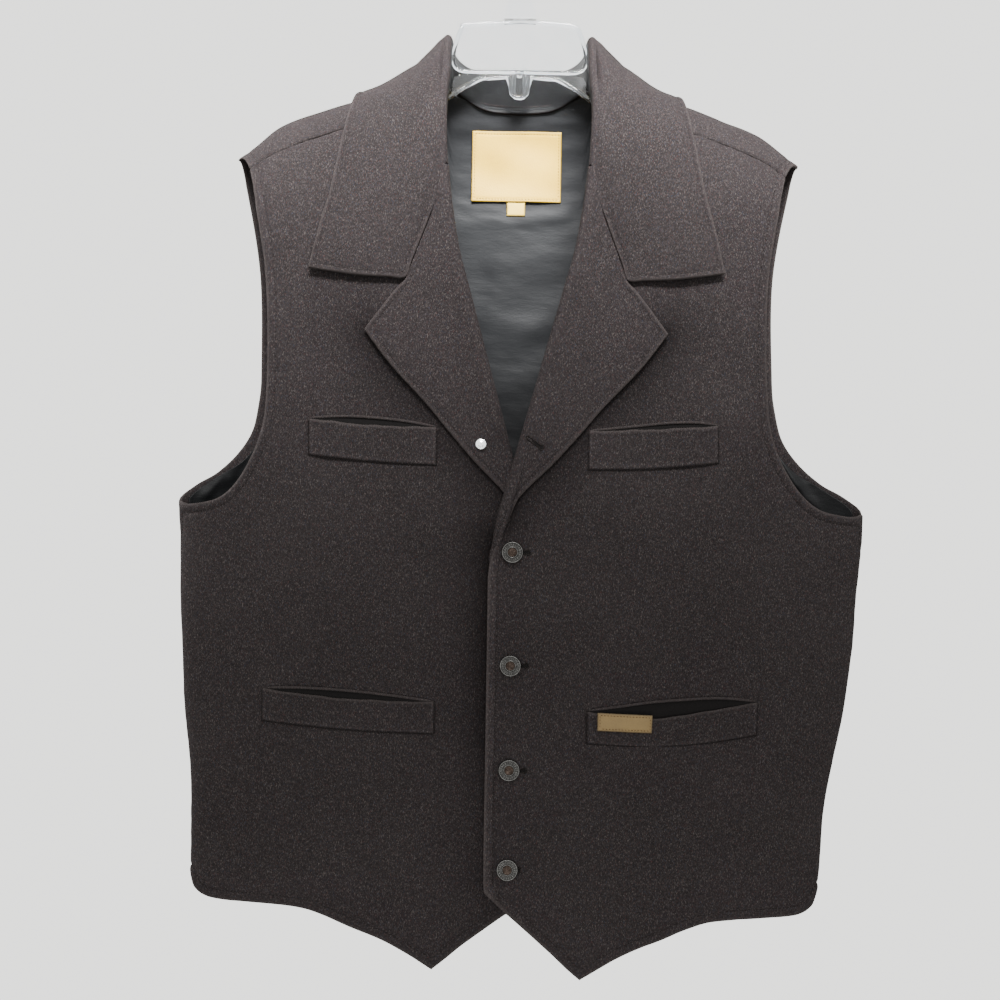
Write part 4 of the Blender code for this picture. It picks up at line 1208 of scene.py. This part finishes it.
def buttonhole(name, trees, x, z, length, slope, eye=1.3, slit=0.42):
    """A keyhole buttonhole: slit and round eye at its far end as a dark sheet painted as shade, and purled
    thread round both.
    """
    c, s = math.cos(math.radians(slope)), math.sin(math.radians(slope))
    outline = [(-length / 2, -slit), (length / 2 - eye, -slit)]
    outline += [(length / 2 - eye * 0.2 + eye * math.cos(a), eye * math.sin(a))
                for a in np.linspace(-2.5, 2.5, 13)]
    outline += [(length / 2 - eye, slit), (-length / 2, slit)]

    def spots(outline, lift):
        return np.array([hit(trees, x + a * c - b * s, z + a * s + b * c, lift) for a, b in outline])

    count = len(outline)
    dark = add_object(name + "_slit", np.vstack([spots(outline, 0.14), spots([(0, 0)], 0.14)]),
                      [(i, (i + 1) % count, count) for i in range(count)], PAINTED_SHADE_LOOK, smooth=False)
    wide = [(a + 0.55 * np.sign(a) * (abs(a) > length / 2 - 0.1), b + 0.75 * np.sign(b)) for a, b in outline]
    line = spots(curve_at(wide + wide[:1], np.linspace(0, 1, 160)), 0.2)
    thread = sew(name + "_thread", [line], np.array([0, 0, z], float), STITCH_LOOK, pitch=0.62,
                 size=(0.36, 0.72, 0.45))
    return [dark, thread]


# Hanger

HANGER_TIP = 208
PLATE_TOP = -66
MARKER_TOP = -42
WIRE_RADIUS = 1.9
HOOK_RADIUS = 20.9


def curve_piece(name, splines, look, bevel=0.0, extrude=0.0, flat=False, offset=0.0, round_steps=3,
                closed=True):
    data = bpy.data.curves.new(name, "CURVE")
    data.dimensions = "2D" if flat else "3D"
    if flat:
        data.fill_mode = "BOTH"
    data.extrude = extrude * MM
    data.bevel_depth = bevel * MM
    data.bevel_resolution = round_steps
    data.offset = offset * MM
    data.use_fill_caps = not flat
    for points in splines:
        spline = data.splines.new("POLY")
        spline.points.add(len(points) - 1)
        for point, spot in zip(spline.points, points):
            x, y, z = spot if len(spot) == 3 else (spot[0], 0, spot[1])
            point.co = (x * MM, z * MM, -y * MM, 1)
        spline.use_cyclic_u = closed
        spline.use_smooth = True
    data.materials.append(look)
    thing = bpy.data.objects.new(name, data)
    thing.rotation_euler = (math.pi / 2, 0, 0)
    bpy.context.scene.collection.objects.link(thing)
    return thing


def below_arms(p):
    """Whether a point of the outline is on the hanger's lower edge."""
    x = abs(p[0])
    return x < 205 and p[1] < -105 and p[1] < float(read(SHOULDER, x)) - 2.5 - 0.5 * max(0.0, min(x - 40, 14))


def both_halves(half):
    return half + [(-x, z) for x, z in half[:0:-1]]


def make_hanger():
    """Clear moulded hanger: a thin web with raised rims, a neck marker and a wire hook."""
    arm_top = [(x, float(read(SHOULDER, x)) - WOOL - 2.6) for x in (64, 80, 100, 120, 140, 160, 180, 198)]
    arm_low = [(196, -179), (170, -173), (140, -163), (110, -153), (80, -143), (61, -135), (45, -124),
               (30, -116), (18, -112.5), (12, -113.5), (9.5, -119), (7.5, -128), (3, -131.5)]
    plate_line = both_halves([(0, PLATE_TOP), (30, -67), (45, -69), (50, -73.5), (53.5, -83), (56, -93),
                              (56.5, -100), (54, -106.5), (48, -110), (38, -110.6), (0, -110.6)])[:-1]
    half = [(0, -111.1), (47, -111.1), (53, -113), (55, -118), (57, -124.5), (66, -124.5)] + arm_top[1:]
    outline = both_halves(half + [(HANGER_TIP, -172), (207, -177)] + arm_low)
    plate_dense = dense_line(plate_line, 260)
    dense = dense_line(outline, 500)
    web = curve_piece("hanger_web", [outline[::-1], plate_dense[::-1]], CLEAR_LOOK, bevel=0.3, extrude=0.8,
                      flat=True, offset=-0.3)
    rim = curve_piece("hanger_rim", [inner_line(plate_dense, 1.7)], CLEAR_LOOK, bevel=1.7, round_steps=4)
    edge_line = inner_line(dense, 2.0)
    low = [q for p, q in zip(dense, edge_line) if below_arms(p)]
    bar = curve_piece("hanger_bar", [low], CLEAR_LOOK, bevel=2.0, round_steps=4, closed=False)
    tongue = curve_piece("hanger_tongue_ribs", [[(-4.5, -106), (-4.0, -127)], [(4.5, -106), (4.0, -127)]],
                         CLEAR_LOOK, bevel=1.4, round_steps=3, closed=False)
    marker_line = [(-13.3, -65.7), (13.3, -65.7), (8.2, MARKER_TOP), (-8.2, MARKER_TOP)]
    marker = curve_piece("hanger_marker_cap", [marker_line], CLEAR_LOOK, bevel=1.0, extrude=6.0, flat=True,
                         offset=-1.0)
    turns = [math.radians(a) for a in np.linspace(-82, 206, 97)]
    centre = WIRE_RADIUS - HOOK_RADIUS
    path = [(0, MARKER_TOP - 6), (0, MARKER_TOP + 0.8)]
    path += [(HOOK_RADIUS * math.cos(a), centre + HOOK_RADIUS * math.sin(a)) for a in turns]
    wire = curve_piece("hook_wire", [path], STEEL_LOOK, bevel=WIRE_RADIUS, round_steps=6, closed=False)
    return web, rim, bar, tongue, marker, wire


def dense_line(points, count):
    """A smooth closed line through the points."""
    return [tuple(p) for p in curve_at(points + points[:1], np.linspace(0, 1, count)[:-1])]


def inner_line(points, inset):
    """A closed x, z line moved inward by a distance."""
    p = np.array(points)
    along = unit(np.roll(p, -1, 0) - np.roll(p, 1, 0))
    inward = np.stack([along[:, 1], -along[:, 0]], -1)
    area = 0.5 * np.sum(p[:, 0] * np.roll(p[:, 1], -1) - np.roll(p[:, 0], -1) * p[:, 1])
    moved = p + inward * (inset if area < 0 else -inset)
    return [tuple(q) for q in moved]


# Assembly

SIDES = ((1, "left"), (-1, "right"))
SEWN = {"front_left": 7.0, "front_right": 7.0, "back": 7.0, "collar": 4.2, "lapel_left": 4.2,
        "lapel_right": 4.2, "neck_label": 2.0, "pocket_label": 1.6}

made = {f"front_{suffix}": make_front(f"front_{suffix}_cloth", side) for side, suffix in SIDES}
made["back"] = make_back()
made["collar"] = make_collar()
made.update({f"lapel_{suffix}": make_lapel(f"lapel_{suffix}_cloth", side) for side, suffix in SIDES})
lining = make_lining()
mouths = {}
for index, (kind, *_rest) in enumerate(WELTS):
    for side, suffix in SIDES:
        name = f"{kind}_{suffix}"
        made[name] = make_welt(index, side, name)
        mouths[name] = pocket_mouth(index, side, name)
made["neck_label"] = label_on_lining("neck_label", NECK_LABEL, LEATHER_LOOK, 0.8, True)
made["size_tab"] = label_on_lining("size_tab", SIZE_TAB, TAB_LOOK, 0.3, False)
made["pocket_label"] = label_on_welt()
buttons = [make_button(number, z) for number, z in enumerate(BUTTON_HEIGHTS, 1)]
stud = make_stud()
hanger_parts = make_hanger()

# Threads, each seam's stitches in one mesh

threads = {}
for name, reach in SEWN.items():
    thing, grid, distance = made[name]
    look = LABEL_THREAD_LOOK if "label" in name else STITCH_LOOK
    small = 0.8 if "label" in name else 1.0
    centre = np.array([0, 200.0, 0]) if name == "neck_label" else np.array([0, 0.0, 0])
    threads[name] = sew(f"{name}_stitches", contours(grid, distance, reach), centre, look, 3.2 * small,
                        np.array((1.15, 0.42, 0.34)) * small, lift=0.05 if small == 1.0 else 0.2)
front_trees = [tree_of(made[name][0]) for name in ("front_left", "front_right", "lapel_left", "lapel_right")]
HOLE_REACH, LAST_HOLE_REACH = 5.2, 1.6
LAPEL_HOLE_AT = (16.4, -415.8)
holes = []
for number, z in enumerate(BUTTON_HEIGHTS, 1):
    reach = HOLE_REACH if number < len(BUTTON_HEIGHTS) else LAST_HOLE_REACH
    holes += buttonhole(f"buttonhole_{number}", front_trees, reach, z - 0.4, 15.0, 0.0, eye=1.2)
holes += buttonhole("lapel_buttonhole", front_trees, *LAPEL_HOLE_AT, 13.5, -34.0)

# Each piece is attached to the root, and the imported parts that it stands for are hidden

def tell(piece, slot, *nodes):
    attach(piece, "root")
    if nodes:
        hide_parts(*nodes)


CUTS = {
    "front_left": ((0.335, 0.720), 0.160, "hung", ["back_cloth"]),
    "front_right": ((0.335, 0.720), 0.160, "hung", ["back_cloth"]),
    "back": ((0.620, 0.760), 0.360, "hung", ["hanger_web"]),
    "collar": ((0.620, 0.160), 0.080, "folded", ["back_cloth"]),
    "lapel_left": ((0.130, 0.330), 0.0185, "folded", ["front_left_cloth"]),
    "lapel_right": ((0.130, 0.330), 0.0185, "folded", ["front_right_cloth"]),
    "welt_upper_left": ((0.105, 0.032), None, "laid", ["front_left_cloth"]),
    "welt_upper_right": ((0.106, 0.032), None, "laid", ["front_right_cloth"]),
    "welt_lower_left": ((0.140, 0.032), None, "laid", ["front_left_cloth"]),
    "welt_lower_right": ((0.145, 0.032), None, "laid", ["front_right_cloth"]),
    "neck_label": ((0.075, 0.060), None, "laid", ["back_lining_satin"]),
    "size_tab": ((0.015, 0.011), None, "laid", ["back_lining_satin"]),
    "pocket_label": ((0.043, 0.014), None, "laid", ["welt_lower_left_cloth"]),
}
for name, (flat, area, held, below) in CUTS.items():
    slot = {"neck_label": "leather", "pocket_label": "leather", "size_tab": "tab"}.get(name, "wool")
    tell(made[name][0], slot, name)
    if name in threads:
        tell(threads[name], slot)
tell(lining, "lining", "back_lining")
for mouth, lip in mouths.values():
    tell(mouth, "lining")
    tell(lip, "wool")
for piece in holes:
    tell(piece, "wool")
for number, (ring, centre) in enumerate(buttons, 1):
    tell(ring, "pewter", f"button_{number}")
    tell(centre, "pewter", f"button_{number}")
tell(stud, "stud", "lapel_stud")
for piece in hanger_parts[:4]:
    tell(piece, "clear", "hanger")
tell(hanger_parts[4], "clear", "hanger_marker")
tell(hanger_parts[5], "steel", "hanger_hook")

# Room, light and camera

FLOOR_HALF, FLOOR_Z = 2500, -1600
corners = [(x * FLOOR_HALF, y * FLOOR_HALF, FLOOR_Z) for x, y in ((-1, -1), (1, -1), (1, 1), (-1, 1))]
FLOOR_LOOK = thread_material("floor_paint", (0.45, 0.45, 0.44))
floor = add_object("floor", corners, [(0, 1, 2, 3)], FLOOR_LOOK, smooth=False)

world = bpy.data.worlds.new("pale_room")
world.use_nodes = True
world.node_tree.nodes["Background"].inputs[0].default_value = (1.0, 1.0, 0.975, 1)
world.node_tree.nodes["Background"].inputs[1].default_value = 2.05
bpy.context.scene.world = world


def area_light(name, spot, target, size, power, spread=180):
    data = bpy.data.lights.new(name, "AREA")
    data.shape = "RECTANGLE"
    data.size, data.size_y = size
    data.energy = power
    data.spread = math.radians(spread)
    lamp = bpy.data.objects.new(name, data)
    lamp.location = spot
    lamp.rotation_euler = (Vector(target) - Vector(spot)).to_track_quat("-Z", "Y").to_euler()
    bpy.context.scene.collection.objects.link(lamp)


area_light("key", (0.06, -0.75, 0.46), (0, 0, -0.03), (0.9, 0.35), 14, 40)
area_light("low_fill", (0.0, -0.95, -1.15), (0, 0, -0.86), (0.9, 0.2), 0.9, 60)
area_light("back_fill", (-1.9, 0.75, 0.45), (0, 0, -0.45), (0.4, 0.4), 75)

camera_data = bpy.data.cameras.new("camera")
camera_data.lens = 72
camera_data.sensor_width = 36
camera = bpy.data.objects.new("camera", camera_data)
camera.matrix_world = (Matrix.Translation((-0.0105, -1.65, -0.462)) @ Matrix.Rotation(math.pi / 2, 4, "X")
                       @ Matrix.Rotation(0.01571, 4, "Z"))
bpy.context.scene.collection.objects.link(camera)
bpy.context.scene.camera = camera
